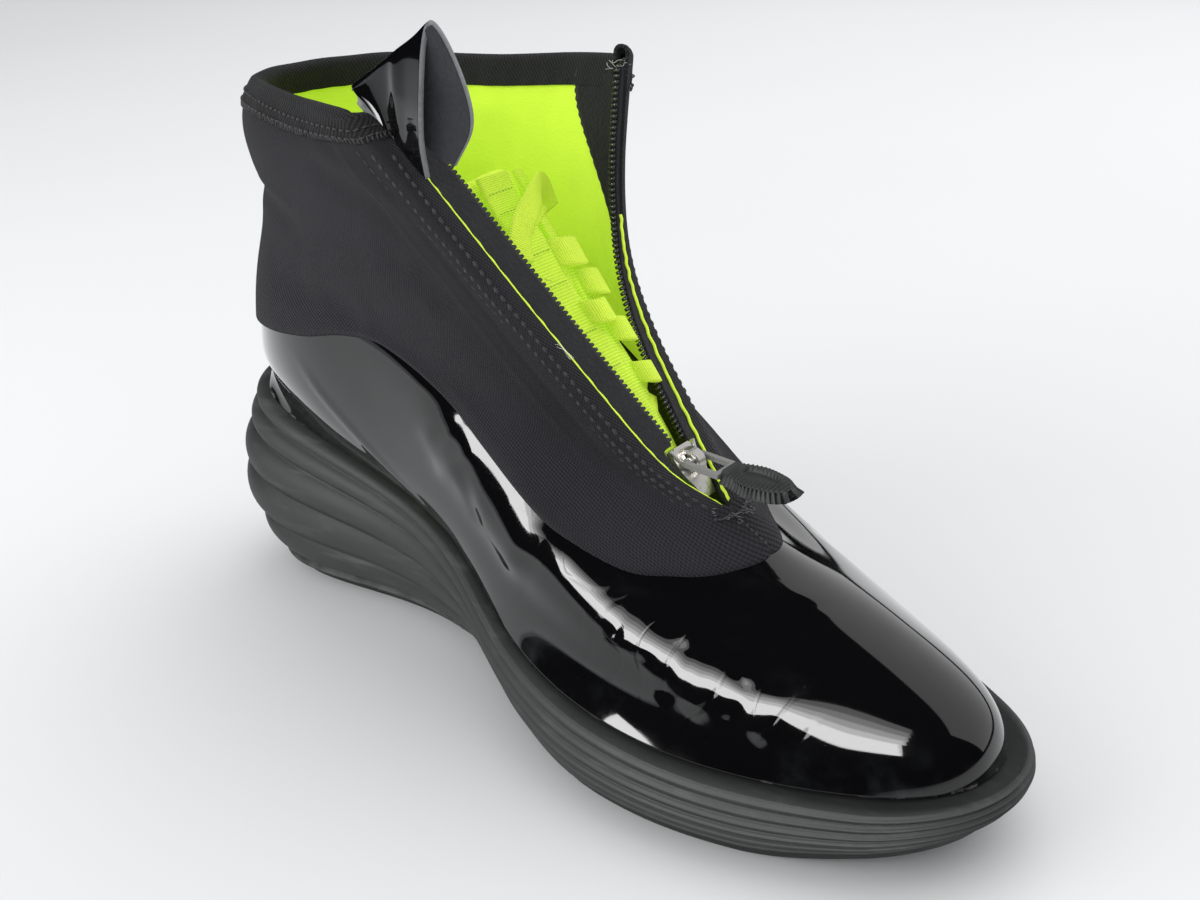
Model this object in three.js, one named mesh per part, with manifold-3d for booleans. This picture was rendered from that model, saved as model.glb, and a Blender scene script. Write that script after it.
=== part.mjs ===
// A left sneaker boot: hidden wedge sole, moulded patent shell, stretch bootie, open front zip.
// Millimetres. +X points to the toe, +Y to the outer side of the foot, +Z up.
// The origin is at the middle of the flat under the heel, on the floor.
import * as THREE from 'three';
import { mergeVertices } from 'three/addons/utils/BufferGeometryUtils.js';
import Module from 'manifold-3d';

const wasm = await Module();
wasm.setup();

// Driving dimensions of the sole
const SOLE_LENGTH = 264;
const SOLE_WIDTH = 96;
const WEDGE_HEIGHT = 68;
const TOE_SPRING = 11;
const HEEL_UNDERCUT = 2.5;
const SIDE_BELLY = 9.5;
const LOBE_DEPTH = 3.6;
const TREAD_THICKNESS = 3;
const TREAD_MARGIN = 1.5;
const GROOVE_WIDTH = 2.6;
const GROOVE_DEPTH = 1.6;
const GROOVE_PITCH = 10.5;
const INSOLE_THICKNESS = 4;

// Driving dimensions of the upper
const UPPER_RISE = 94;
const LEDGE_WIDTH = 5;
const SHELL_WALL = 2;
const SHAFT_WALL = 3;
const SHAFT_PROUD = 1.2;
const BINDING_HEIGHT = 9;
const BINDING_WALL = 4.4;
const BINDING_PROUD = 1.9;

// Driving dimensions of the zip, tongue, laces and pull loop
const INNER_TAPE_WIDTH = 9.5;
const OUTER_TAPE_WIDTH = 4.5;
const TAPE_THICKNESS = 1.1;
const TEETH_WIDTH = 2.2;
const TEETH_THICKNESS = 2;
const TEETH_PITCH = 3.6;
const TEETH_NOTCH = 0.5;
const SLIDER_LENGTH = 15;
const SLIDER_WIDTH = 10;
const SLIDER_THICKNESS = 4.2;
const SLIDER_PLATE = 1.3;
const BAIL_LENGTH = 8;
const BAIL_HEIGHT = 4.8;
const BAIL_WIDTH = 2.8;
const BAIL_WIRE = 1.3;
const LINK_LENGTH = 11;
const LINK_WIDTH = 9;
const LINK_WIRE = 1.5;
const GRIP_LENGTH = 20.5;
const GRIP_WIDTH = 12;
const GRIP_THICKNESS = 3.4;
const GRIP_RIBS = 9;
const GRIP_RIB_DEPTH = 0.45;
const GRIP_HOLLOW = 0.8;
const TONGUE_THICKNESS = 5;
const LACE_WIDTH = 7;
const LACE_THICKNESS = 1.2;
const WEBBING_WIDTH = 9;
const WEBBING_THICKNESS = 1.2;
const STRAP_THICKNESS = 1.6;
const STRAP_RISE = 36;

// Clearances
const GAP = 0.3;
const CLEAR = 0.8;

const HALF_WIDTH = SOLE_WIDTH / 2;
const HEEL_REST = 0.227 * SOLE_LENGTH;

// The sole's outline, as shares of its length and of half its width, from the toe to the heel.
const OUTLINE = [
  { at: 1.0, inner: 0.0, outer: 0.0 },
  { at: 0.985, inner: 0.36, outer: 0.33 },
  { at: 0.9, inner: 0.71, outer: 0.74 },
  { at: 0.72, inner: 1.12, outer: 1.0 },
  { at: 0.53, inner: 1.02, outer: 0.84 },
  { at: 0.36, inner: 0.4, outer: 0.75 },
  { at: 0.2, inner: 0.47, outer: 0.67 },
  { at: 0.055, inner: 0.58, outer: 0.46 },
  { at: 0.0, inner: 0.0, outer: 0.0 },
];
// How far the toe turns to the inner side, as a share of half the width.
const TOE_SWAY = 0.11;

// The sole along its length: top line as a share of the wedge, underside lift as a share of the toe spring,
// undercut, belly and lobes of the side wall as shares of their own sizes.
const SOLE_LINE = [
  { at: 0.0, top: 1.0, lift: 0.5, undercut: 1.0, belly: 1.0, lobe: 1.0, ledge: 0.2 },
  { at: 0.06, top: 0.925, lift: 0.12, undercut: 1.0, belly: 0.85, lobe: 0.95, ledge: 0.2 },
  { at: 0.114, top: 0.855, lift: 0.0, undercut: 1.2, belly: 0.6, lobe: 0.85, ledge: 0.22 },
  { at: 0.34, top: 0.585, lift: 0.0, undercut: 2.6, belly: 0.18, lobe: 0.5, ledge: 0.35 },
  { at: 0.44, top: 0.49, lift: 0.3, undercut: 2.8, belly: 0.08, lobe: 0.35, ledge: 0.4 },
  { at: 0.55, top: 0.4, lift: 0.15, undercut: 1.6, belly: 0.1, lobe: 0.28, ledge: 0.5 },
  { at: 0.64, top: 0.35, lift: 0.0, undercut: 1.0, belly: 0.15, lobe: 0.28, ledge: 0.7 },
  { at: 0.8, top: 0.305, lift: 0.0, undercut: 0.9, belly: 0.15, lobe: 0.28, ledge: 0.9 },
  { at: 0.9, top: 0.3, lift: 0.3, undercut: 1.2, belly: 0.15, lobe: 0.28, ledge: 1.0 },
  { at: 1.0, top: 0.35, lift: 1.0, undercut: 1.4, belly: 0.15, lobe: 0.28, ledge: 1.0 },
];

// The creases of the side wall, as shares of its height at the heel and at the forefoot.
const CREASES = [
  { heel: 0.0, forefoot: 0.0 },
  { heel: 0.1, forefoot: 0.18 },
  { heel: 0.24, forefoot: 0.35 },
  { heel: 0.46, forefoot: 0.52 },
  { heel: 0.72, forefoot: 0.68 },
  { heel: 0.95, forefoot: 0.84 },
  { heel: 1.0, forefoot: 1.0 },
];
const CREASE_BLEND = [0.3, 0.5];
const LOBE_STEPS = [0, 0.3, 0.7];

// Rows of the upper from the feather line to the collar. Lengths and places along the foot are shares of
// the sole's length, rises are shares of the upper's rise above the sole's top line, and widths are shares
// of half the sole's width. Rises run from back to front at RISE_AT, widths at WIDTH_AT.
const RISE_AT = [0, 0.2, 0.45, 0.7, 0.85, 1];
const WIDTH_AT = [0.055, 0.2, 0.4, 0.7, 0.9, 0.985];
const WIDTH_ROUND = { heel: 0.62, toe: 0.45 };
const UPPER_ROWS = [
  { name: 'low wall', back: -0.002, front: 0.973, rise: [0.05, 0.1, 0.15, 0.11, 0.1, 0.12],
    inner: [0.63, 0.57, 0.93, 0.59], outer: [0.64, 0.72, 0.94, 0.6] },
  { name: 'waist', back: -0.006, front: 0.908, rise: [0.1, 0.19, 0.31, 0.22, 0.19, 0.23],
    inner: [0.71, 0.62, 0.87, 0.56], outer: [0.66, 0.76, 0.9, 0.52] },
  { name: 'bulge', back: 0.005, front: 0.825, rise: [0.14, 0.27, 0.46, 0.33, 0.29, 0.31],
    inner: [0.74, 0.66, 0.8, 0.48], outer: [0.68, 0.77, 0.86, 0.44] },
  { name: 'junction', back: 0.021, front: 0.728, rise: [0.18, 0.42, 0.64, 0.41, 0.31, 0.36],
    inner: [0.75, 0.67, 0.73, 0.4], outer: [0.69, 0.76, 0.8, 0.38] },
  { name: 'throat foot', back: 0.032, front: 0.684, rise: [0.34, 0.5, 0.66, 0.58, 0.5, 0.44],
    inner: [0.74, 0.63, 0.61, 0.29], outer: [0.66, 0.71, 0.65, 0.29] },
  { name: 'low instep', back: 0.04, front: 0.652, rise: [0.47, 0.6, 0.72, 0.7, 0.61, 0.51],
    inner: [0.68, 0.65, 0.55, 0.24], outer: [0.66, 0.69, 0.58, 0.24],
    edgeInner: [0.629, -0.177, 0.48], edgeOuter: [0.625, 0.187, 0.48] },
  { name: 'instep', back: 0.053, front: 0.58, rise: [0.61, 0.71, 0.79, 0.82, 0.77, 0.7],
    inner: [0.57, 0.66, 0.51, 0.22], outer: [0.66, 0.68, 0.54, 0.22],
    edgeInner: [0.561, -0.302, 0.69], edgeOuter: [0.519, 0.385, 0.7] },
  { name: 'ankle', back: 0.057, front: 0.534, rise: [0.75, 0.84, 0.91, 0.95, 0.93, 0.89],
    inner: [0.58, 0.66, 0.5, 0.23], outer: [0.66, 0.68, 0.53, 0.23],
    edgeInner: [0.496, -0.437, 0.88], edgeOuter: [0.47, 0.5, 0.87] },
  { name: 'over ankle', back: 0.053, front: 0.504, rise: [0.87, 0.96, 1.04, 1.1, 1.11, 1.11],
    inner: [0.64, 0.66, 0.5, 0.25], outer: [0.66, 0.68, 0.54, 0.25],
    edgeInner: [0.424, -0.552, 1.08], edgeOuter: [0.456, 0.573, 1.08] },
  { name: 'under collar', back: 0.059, front: 0.489, rise: [0.97, 1.06, 1.13, 1.21, 1.24, 1.26],
    inner: [0.62, 0.64, 0.5, 0.28], outer: [0.66, 0.68, 0.55, 0.27],
    edgeInner: [0.371, -0.604, 1.2], edgeOuter: [0.455, 0.615, 1.24] },
  { name: 'collar', back: 0.074, front: 0.485, rise: [1.05, 1.14, 1.23, 1.33, 1.38, 1.42],
    inner: [0.53, 0.6, 0.49, 0.32], outer: [0.66, 0.68, 0.57, 0.31],
    edgeInner: [0.337, -0.604, 1.27], edgeOuter: [0.46, 0.635, 1.43] },
];
// The row place where the shell ends and the shaft begins, by columns from the front back to the heel.
const JUNCTION_LINE = [
  { column: 0, row: 4.1 },
  { column: 1, row: 4.0 },
  { column: 2, row: 3.72 },
  { column: 2.6, row: 3.44 },
  { column: 3, row: 3.52 },
  { column: 3.5, row: 4.05 },
  { column: 4, row: 4.42 },
  { column: 4.5, row: 4.45 },
  { column: 5, row: 4.2 },
  { column: 5.6, row: 3.98 },
  { column: 6.4, row: 4.05 },
  { column: 8, row: 4.0 },
];
const JUNCTION_GAP = 0.03;
// How far the throat's edges draw the columns beside them along, from the front column backwards.
const EDGE_PULL = [1, 0.95, 0.75, 0.45, 0.2, 0.06, 0, 0, 0];
const THROAT_FOOT = 5.05;

// Tongue sections from its foot to its top: place along the sole, rise above the floor as a share of the
// upper's rise, and half width as a share of half the sole's width.
const TONGUE_ROWS = [
  { at: 0.61, height: 0.62, half: 0.12 },
  { at: 0.585, height: 0.78, half: 0.17 },
  { at: 0.53, height: 0.96, half: 0.22 },
  { at: 0.462, height: 1.16, half: 0.28 },
  { at: 0.405, height: 1.36, half: 0.34 },
  { at: 0.372, height: 1.48, half: 0.34 },
];
// How far the tongue's edges lie back from its middle, as a share of its half width.
const TONGUE_CROWN = 0.3;
// The lace bars: places along the tongue, and how far they reach to each side of it.
const LACE_AT = [0.2, 0.33, 0.46, 0.59, 0.72, 0.85];
const LACE_REACH = 0.82;

// The zip slider's middle as shares along the sole and of the upper's rise, and its slope and the slope of
// its pull in degrees below level.
const SLIDER_PLACE = { at: 0.6277, height: 0.745, slope: 51, pull: 2 };
// How far the bail sits up the slider from its middle, as a share of its length.
const BAIL_SHIFT = 0.16;
// Half widths of the slider's plates and of the pull's grip along their length, as shares of their widths.
const SLIDER_OUTLINE = [
  { at: 0.0, half: 0.3 },
  { at: 0.16, half: 0.5 },
  { at: 0.45, half: 0.48 },
  { at: 0.75, half: 0.32 },
  { at: 1.0, half: 0.26 },
];
const GRIP_OUTLINE = [
  { at: 0.0, half: 0.24 },
  { at: 0.12, half: 0.34 },
  { at: 0.45, half: 0.5 },
  { at: 0.75, half: 0.42 },
  { at: 0.93, half: 0.26 },
  { at: 1.0, half: 0.1 },
];

// The pull loop's strap from its outer seam over the fold to its inner seam, at its pinched back end and at
// its open front end: forward, outward and upward shares of the strap's rise.
const STRAP_ROWS = [
  { name: 'outer seam', back: [0.0, 0.03, 0.04], front: [-0.01, 0.06, 0.03] },
  { name: 'outer low', back: [-0.07, 0.02, 0.07], front: [0.03, 0.14, 0.3] },
  { name: 'outer high', back: [-0.14, 0.0, 0.1], front: [0.08, 0.15, 0.62] },
  { name: 'fold', back: [-0.2, -0.03, 0.14], front: [0.15, 0.07, 1.1] },
  { name: 'inner high', back: [-0.14, -0.06, 0.1], front: [0.36, -0.1, 0.64] },
  { name: 'inner low', back: [-0.07, -0.05, 0.07], front: [0.3, -0.13, 0.34] },
  { name: 'inner seam', back: [0.0, -0.045, 0.04], front: [0.14, -0.1, 0.12] },
];

const COLOURS = {
  rubber: 0x3a3d3c,
  patent: 0x0b0b0d,
  neoprene: 0x232126,
  binding: 0x1c1b1f,
  lime: 0xb8f01e,
  tape: 0x1a1a1c,
  teeth: 0x202022,
  metal: 0xb4b4b2,
};

// Smooth value of a table column at a place, with level or sloped ends and no overshoot.
function smooth(places, values, place) {
  const last = places.length - 1;
  const here = Math.min(Math.max(place, places[0]), places[last]);
  let k = 0;
  while (k < last - 1 && here > places[k + 1]) k += 1;
  const slope = (i) => (values[i + 1] - values[i]) / (places[i + 1] - places[i]);
  const tangent = (i) => {
    if (i === 0) return slope(0);
    if (i === last) return slope(last - 1);
    const a = slope(i - 1);
    const b = slope(i);
    return a * b <= 0 ? 0 : (2 * a * b) / (a + b);
  };
  const h = places[k + 1] - places[k];
  const t = (here - places[k]) / h;
  return (2 * t ** 3 - 3 * t ** 2 + 1) * values[k] + (t ** 3 - 2 * t ** 2 + t) * h * tangent(k)
    + (3 * t ** 2 - 2 * t ** 3) * values[k + 1] + (t ** 3 - t ** 2) * h * tangent(k + 1);
}

const SOLE_AT = SOLE_LINE.map((row) => row.at);
const soleColumn = (key, x) => smooth(SOLE_AT, SOLE_LINE.map((row) => row[key]), x / SOLE_LENGTH);
const soleTop = (x) => WEDGE_HEIGHT * soleColumn('top', x);
const soleLift = (x) => TOE_SPRING * soleColumn('lift', x);
const toeSway = (x) => -TOE_SWAY * HALF_WIDTH * Math.max(0, (2 * x) / SOLE_LENGTH - 1);

// Weights of a uniform cubic B-spline span.
function weights(t) {
  return [(1 - t) ** 3 / 6, (3 * t ** 3 - 6 * t ** 2 + 4) / 6, (-3 * t ** 3 + 3 * t ** 2 + 3 * t + 1) / 6, t ** 3 / 6];
}

// A point at a span number of a B-spline through a list that already has its two end points added.
function splinePoint(list, place) {
  const spans = list.length - 3;
  const span = Math.min(Math.max(Math.floor(place), 0), spans - 1);
  const w = weights(place - span);
  const point = new THREE.Vector3();
  for (let k = 0; k < 4; k += 1) point.addScaledVector(list[span + k], w[k]);
  return point;
}

const mirrored = (from, over) => over.clone().multiplyScalar(2).sub(from);

// A closed body from lists of points and triangles, with its faces turned outwards.
function body(points, triangles) {
  let volume = 0;
  for (let k = 0; k < triangles.length; k += 3) {
    const [a, b, c] = [points[triangles[k]], points[triangles[k + 1]], points[triangles[k + 2]]];
    volume += a.dot(b.clone().cross(c));
  }
  const index = volume < 0 ? triangles.slice().reverse() : triangles;
  const geometry = new THREE.BufferGeometry();
  geometry.setAttribute('position', new THREE.Float32BufferAttribute(points.flatMap((p) => [p.x, p.y, p.z]), 3));
  geometry.setIndex(index);
  return mergeVertices(geometry, 1e-4);
}

// Two triangles across the shorter diagonal of a four-sided patch.
function patch(points, a, b, c, d) {
  const short = points[a].distanceTo(points[c]) <= points[b].distanceTo(points[d]);
  return short ? [a, b, c, a, c, d] : [a, b, d, b, c, d];
}

const touching = (a, b) => a.distanceTo(b) < 1e-4;

// A body between two sheets of points that have the same rows and columns. Where both ends of a row lie on
// one point the sheet is closed there and gets no side wall.
function slab(outside, inside) {
  const rows = outside.length;
  const columns = outside[0].length;
  const points = [...outside.flat(), ...inside.flat()];
  const out = (i, j) => i * columns + j;
  const back = (i, j) => (rows + i) * columns + j;
  const triangles = [];
  const add = (...corners) => triangles.push(...patch(points, ...corners));
  const last = columns - 1;
  for (let i = 0; i < rows - 1; i += 1) {
    for (let j = 0; j < last; j += 1) {
      add(out(i, j), out(i + 1, j), out(i + 1, j + 1), out(i, j + 1));
      add(back(i, j), back(i, j + 1), back(i + 1, j + 1), back(i + 1, j));
    }
    const closed = (row) => touching(outside[row][0], outside[row][last]);
    if (!(closed(i) && closed(i + 1))) {
      add(out(i, 0), back(i, 0), back(i + 1, 0), out(i + 1, 0));
      add(out(i, last), out(i + 1, last), back(i + 1, last), back(i, last));
    }
  }
  for (let j = 0; j < last; j += 1) {
    add(out(0, j), out(0, j + 1), back(0, j + 1), back(0, j));
    add(out(rows - 1, j), back(rows - 1, j), back(rows - 1, j + 1), out(rows - 1, j + 1));
  }
  return body(points, triangles);
}

// A body of stacked rings with flat ladders across its first and last ring.
function stack(rings) {
  const count = rings[0].length;
  const points = rings.flat();
  const triangles = [];
  for (let k = 0; k < rings.length - 1; k += 1) {
    for (let i = 0; i < count; i += 1) {
      const next = (i + 1) % count;
      triangles.push(...patch(points, k * count + i, k * count + next, (k + 1) * count + next, (k + 1) * count + i));
    }
  }
  const ladder = (base, flip) => {
    for (let i = 0; i < count / 2; i += 1) {
      const [a, b, c, d] = [i, i + 1, count - i - 1, count - i].map((n) => base + (n % count));
      const faces = [];
      if (b !== c) faces.push(a, b, c);
      if (a !== d) faces.push(a, c, d);
      triangles.push(...(flip ? faces.reverse() : faces));
    }
  };
  ladder(0, true);
  ladder((rings.length - 1) * count, false);
  return body(points, triangles);
}

function solid(geometry) {
  const plain = geometry.clone();
  plain.deleteAttribute('normal');
  plain.deleteAttribute('uv');
  const merged = mergeVertices(plain, 1e-4);
  const index = merged.index.array;
  return new wasm.Manifold(new wasm.Mesh({
    numProp: 3,
    vertProperties: new Float32Array(merged.attributes.position.array),
    triVerts: new Uint32Array(index),
  }));
}

function geometryOf(shape) {
  const mesh = shape.getMesh();
  const geometry = new THREE.BufferGeometry();
  geometry.setAttribute('position', new THREE.BufferAttribute(new Float32Array(mesh.vertProperties), 3));
  geometry.setIndex(new THREE.BufferAttribute(new Uint32Array(mesh.triVerts), 1));
  return geometry;
}

// Control points of the outline, toe to heel along the inner side and back along the outer side.
function outlineControls() {
  const side = (key, sign) => OUTLINE.map((row) => {
    const x = row.at * SOLE_LENGTH;
    return new THREE.Vector3(x, sign * row[key] * HALF_WIDTH + toeSway(x), 0);
  });
  return [...side('inner', -1), ...side('outer', 1).reverse().slice(1)];
}

// A closed list of controls drawn in by a depth that depends on the place.
function drawnIn(controls, depthAt) {
  const ring = controls.slice(0, -1);
  const moved = ring.map((point, k) => {
    const after = ring[(k + 1) % ring.length];
    const before = ring[(k + ring.length - 1) % ring.length];
    const along = after.clone().sub(before).normalize();
    return point.clone().addScaledVector(new THREE.Vector3(along.y, -along.x, 0), depthAt(point.x));
  });
  return [...moved, moved[0].clone()];
}

const OUTLINE_CONTROLS = outlineControls();
const FEATHER_CONTROLS = drawnIn(OUTLINE_CONTROLS, (x) => LEDGE_WIDTH * soleColumn('ledge', x));

const looped = (controls) => [controls[controls.length - 2], ...controls, controls[1]];

// A closed curve sampled evenly over its spans, without its last point.
function ringOf(controls, perSpan) {
  const list = looped(controls);
  const count = (list.length - 3) * perSpan;
  return Array.from({ length: count }, (unused, k) => splinePoint(list, k / perSpan));
}

// A closed ring drawn in square to its own run, at a height that depends on the place.
function ringAt(ring, depthAt, heightAt) {
  return ring.map((point, k) => {
    const after = ring[(k + 1) % ring.length];
    const before = ring[(k + ring.length - 1) % ring.length];
    const along = after.clone().sub(before).normalize();
    const moved = point.clone().addScaledVector(new THREE.Vector3(along.y, -along.x, 0), depthAt(point.x));
    moved.z = heightAt(moved.x);
    return moved;
  });
}

// The side wall of the sole at a share of its height from the top, drawn in from the outline.
function creaseShare(k, x) {
  const blend = THREE.MathUtils.smoothstep(x / SOLE_LENGTH, CREASE_BLEND[0], CREASE_BLEND[1]);
  return THREE.MathUtils.lerp(CREASES[k].heel, CREASES[k].forefoot, blend);
}

function sideDepth(share, bulge, x) {
  const under = HEEL_UNDERCUT * soleColumn('undercut', x) * share ** 3;
  const belly = SIDE_BELLY * soleColumn('belly', x) * Math.sin(Math.PI * share ** 1.15);
  return under - belly - LOBE_DEPTH * soleColumn('lobe', x) * (bulge - 0.35);
}

function midsole() {
  const outline = ringOf(OUTLINE_CONTROLS, 3);
  const bottom = (x) => soleLift(x) + TREAD_THICKNESS + GAP;
  const rings = [];
  for (let k = 0; k < CREASES.length - 1; k += 1) {
    for (const step of LOBE_STEPS) {
      const shareAt = (x) => THREE.MathUtils.lerp(creaseShare(k, x), creaseShare(k + 1, x), step);
      const bulge = Math.sin(Math.PI * step) ** 0.7;
      rings.push(ringAt(outline, (x) => sideDepth(shareAt(x), bulge, x),
        (x) => THREE.MathUtils.lerp(soleTop(x), bottom(x), shareAt(x))));
    }
  }
  rings.push(ringAt(outline, (x) => sideDepth(1, 0, x), bottom));
  return stack(rings);
}

function outsole() {
  const outline = ringOf(OUTLINE_CONTROLS, 3);
  const depth = (x) => sideDepth(1, 0, x) + TREAD_MARGIN;
  const plate = stack([
    ringAt(outline, depth, (x) => soleLift(x) + TREAD_THICKNESS),
    ringAt(outline, depth, soleLift),
  ]);
  let cut = solid(plate);
  for (const [from, to] of [[0.135, 0.34], [0.62, 0.84]]) {
    const rest = [0.227 * SOLE_LENGTH, 0.72 * SOLE_LENGTH];
    for (let x = from * SOLE_LENGTH; x < to * SOLE_LENGTH; x += GROOVE_PITCH) {
      const middle = rest.find((place) => Math.abs(place - x) < GROOVE_PITCH / 2);
      const at = middle ? middle + GROOVE_PITCH / 2 : x;
      const groove = new THREE.BoxGeometry(GROOVE_WIDTH, 2 * SOLE_WIDTH, 2 * GROOVE_DEPTH);
      groove.translate(at, 0, soleLift(at));
      cut = cut.subtract(solid(groove));
    }
  }
  return geometryOf(cut);
}

// The upper's surface. Its columns run from the front along the inner side to the heel and back along the
// outer side; its rows run from the feather line to the collar.
function rowControls(row) {
  const xs = OUTLINE.map((place) => (row.back + (row.front - row.back) * place.at) * SOLE_LENGTH);
  const widths = (list) => {
    const [heel, waist, ball, toe] = list.map((share) => share * HALF_WIDTH);
    const all = [heel * WIDTH_ROUND.heel, heel, waist, ball, toe, toe * WIDTH_ROUND.toe];
    return OUTLINE.map(({ at }) => (at === 0 || at === 1 ? 0 : smooth(WIDTH_AT, all, at)));
  };
  const side = (list, sign) => widths(list).map((width, k) => {
    const z = soleTop(xs[k]) + UPPER_RISE * smooth(RISE_AT, row.rise, OUTLINE[k].at);
    return new THREE.Vector3(xs[k], sign * width + toeSway(xs[k]), z);
  });
  const inner = side(row.inner, -1);
  const outer = side(row.outer, 1).reverse().slice(1);
  const points = [...inner, ...outer];
  if (!row.edgeInner) return looped(points);
  const edge = ([along, across, rise]) => {
    const x = along * SOLE_LENGTH;
    return new THREE.Vector3(x, across * HALF_WIDTH, soleTop(x) + rise * UPPER_RISE);
  };
  const innerMove = edge(row.edgeInner).sub(points[0]);
  const outerMove = edge(row.edgeOuter).sub(points[points.length - 1]);
  EDGE_PULL.forEach((pull, k) => {
    points[k].addScaledVector(innerMove, pull);
    if (k < EDGE_PULL.length - 1) points[points.length - 1 - k].addScaledVector(outerMove, pull);
  });
  const end = points.length - 1;
  return [mirrored(points[1], points[0]), ...points, mirrored(points[end - 1], points[end])];
}

class Skin {
  constructor(rows) {
    const first = rows[0].map((point, k) => mirrored(rows[1][k], point));
    const end = rows.length - 1;
    const last = rows[end].map((point, k) => mirrored(rows[end - 1][k], point));
    this.rows = [first, ...rows, last];
    this.spans = rows[0].length - 3;
    this.top = end;
  }

  // A point at a column place from 0 to the number of spans and a row place from 0 to the top row.
  point(column, row) {
    const span = Math.min(Math.max(Math.floor(row), 0), this.top - 1);
    const w = weights(row - span);
    const point = new THREE.Vector3();
    for (let k = 0; k < 4; k += 1) point.addScaledVector(splinePoint(this.rows[span + k], column), w[k]);
    return point;
  }

  normal(column, row) {
    const step = 0.02;
    const [a, b] = [Math.max(column - step, 0), Math.min(column + step, this.spans)];
    const [c, d] = [Math.max(row - step, 0), Math.min(row + step, this.top)];
    const across = this.point(b, row).sub(this.point(a, row));
    const up = this.point(column, d).sub(this.point(column, c));
    return up.cross(across).normalize();
  }

  // A point held off the surface, outwards when the distance is positive.
  off(column, row, distance) {
    return this.point(column, row).addScaledVector(this.normal(column, row), distance);
  }
}

const featherRow = looped(FEATHER_CONTROLS.map((point) => {
  const seated = point.clone();
  seated.z = soleTop(point.x) + GAP;
  return seated;
}));
const UPPER = new Skin([featherRow, ...UPPER_ROWS.map(rowControls)]);
const COLUMNS = Array.from({ length: UPPER.spans * 3 + 1 }, (unused, k) => k / 3);
const TOP_ROW = UPPER.top;

const steps = (from, to, count) => Array.from({ length: count + 1 }, (unused, k) => from + ((to - from) * k) / count);

// The front seam of a row below the throat's foot: both ends of the row meet at their middle.
function sewn(points, open) {
  if (open) return points;
  const last = points.length - 1;
  const middle = points[0].clone().add(points[last]).multiplyScalar(0.5);
  const joined = points.slice();
  joined[0] = middle;
  joined[last] = middle.clone();
  return joined;
}

function junctionRow(column) {
  const place = Math.min(column, UPPER.spans - column);
  return smooth(JUNCTION_LINE.map((point) => point.column), JUNCTION_LINE.map((point) => point.row), place);
}

// The two faces of a wall whose row places at every column are given for each of its rings, lowest first.
function wall(ringsAt, open, outward, inward) {
  const rings = COLUMNS.map(ringsAt);
  const face = (distance) => rings[0].map((unused, k) => sewn(
    COLUMNS.map((column, j) => UPPER.off(column, rings[j][k], distance)), open(k)));
  return [face(outward), face(inward)];
}

// The shell ends below the junction line and stands on the sole with a level foot.
function upperShell() {
  const [outside, inside] = wall((column) => steps(0, junctionRow(column), 10), () => false, 0, -SHELL_WALL);
  outside[0].forEach((point, j) => {
    const inward = inside[0][j].clone().sub(point).setZ(0).normalize();
    const foot = point.clone().addScaledVector(inward, SHELL_WALL);
    foot.z = soleTop(foot.x) + GAP;
    inside[0][j] = foot;
  });
  return slab(outside, inside);
}

// The row place that lies a given height below the collar's edge, at one column.
function rowBelowCollar(column, height) {
  const edge = UPPER.point(column, TOP_ROW);
  let [low, high] = [THROAT_FOOT, TOP_ROW];
  for (let k = 0; k < 16; k += 1) {
    const middle = (low + high) / 2;
    if (UPPER.point(column, middle).distanceTo(edge) > height) low = middle;
    else high = middle;
  }
  return low;
}

function shaft() {
  const below = 3;
  const ringsAt = (column) => [
    ...steps(junctionRow(column) + JUNCTION_GAP, THROAT_FOOT, below),
    ...steps(THROAT_FOOT, rowBelowCollar(column, BINDING_HEIGHT + 2 * CLEAR), 11).slice(1),
  ];
  return slab(...wall(ringsAt, (k) => k > below, SHAFT_PROUD, SHAFT_PROUD - SHAFT_WALL));
}

function collarBinding() {
  const ringsAt = (column) => steps(rowBelowCollar(column, BINDING_HEIGHT), TOP_ROW, 2);
  return slab(...wall(ringsAt, () => true, BINDING_PROUD, BINDING_PROUD - BINDING_WALL));
}

// A padded footbed inside the foot of the shell.
function insole() {
  const outline = ringOf(FEATHER_CONTROLS, 3);
  const edge = SHELL_WALL + 2.5 * CLEAR;
  return stack([
    ringAt(outline, () => edge + 2 * CLEAR, (x) => soleTop(x) + GAP + INSOLE_THICKNESS),
    ringAt(outline, () => edge, (x) => soleTop(x) + GAP),
  ]);
}

// A sheet of a given thickness about a surface given by a row place and a column place.
function sheet(pointAt, rows, columns, from, to) {
  const step = 0.01;
  const normalAt = (row, column) => {
    const along = pointAt(row + step, column).sub(pointAt(row - step, column));
    const across = pointAt(row, column + step).sub(pointAt(row, column - step));
    return across.cross(along).normalize();
  };
  const side = (distance) => rows.map((row) => columns.map((column) => (
    pointAt(row, column).addScaledVector(normalAt(row, column), distance))));
  return slab(side(to), side(from));
}

// The two sides of the throat: the columns of their edges and how the tape turns to the other side.
const INNER_SIDE = { column: 0, before: 0.15, turn: 0.15, width: INNER_TAPE_WIDTH };
const OUTER_SIDE = { column: UPPER.spans, before: UPPER.spans - 0.15, turn: 0.5, width: OUTER_TAPE_WIDTH };
const WALL_MIDDLE = SHAFT_PROUD - SHAFT_WALL / 2;

const throatHalf = (row) => UPPER.point(0, row).distanceTo(UPPER.point(UPPER.spans, row)) / 2;

// A point on a zip tape, square to the throat's edge at a row place and held off by a distance.
function besideThroat(side, row, distance) {
  const edge = UPPER.off(side.column, row, WALL_MIDDLE);
  const other = UPPER.off(UPPER.spans - side.column, row, WALL_MIDDLE);
  const along = edge.clone().sub(UPPER.off(side.before, row, WALL_MIDDLE)).normalize();
  const across = other.sub(edge).normalize();
  const run = along.multiplyScalar(1 - side.turn).addScaledVector(across, side.turn).normalize();
  return edge.addScaledVector(run, distance);
}

const radians = THREE.MathUtils.degToRad;

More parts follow.
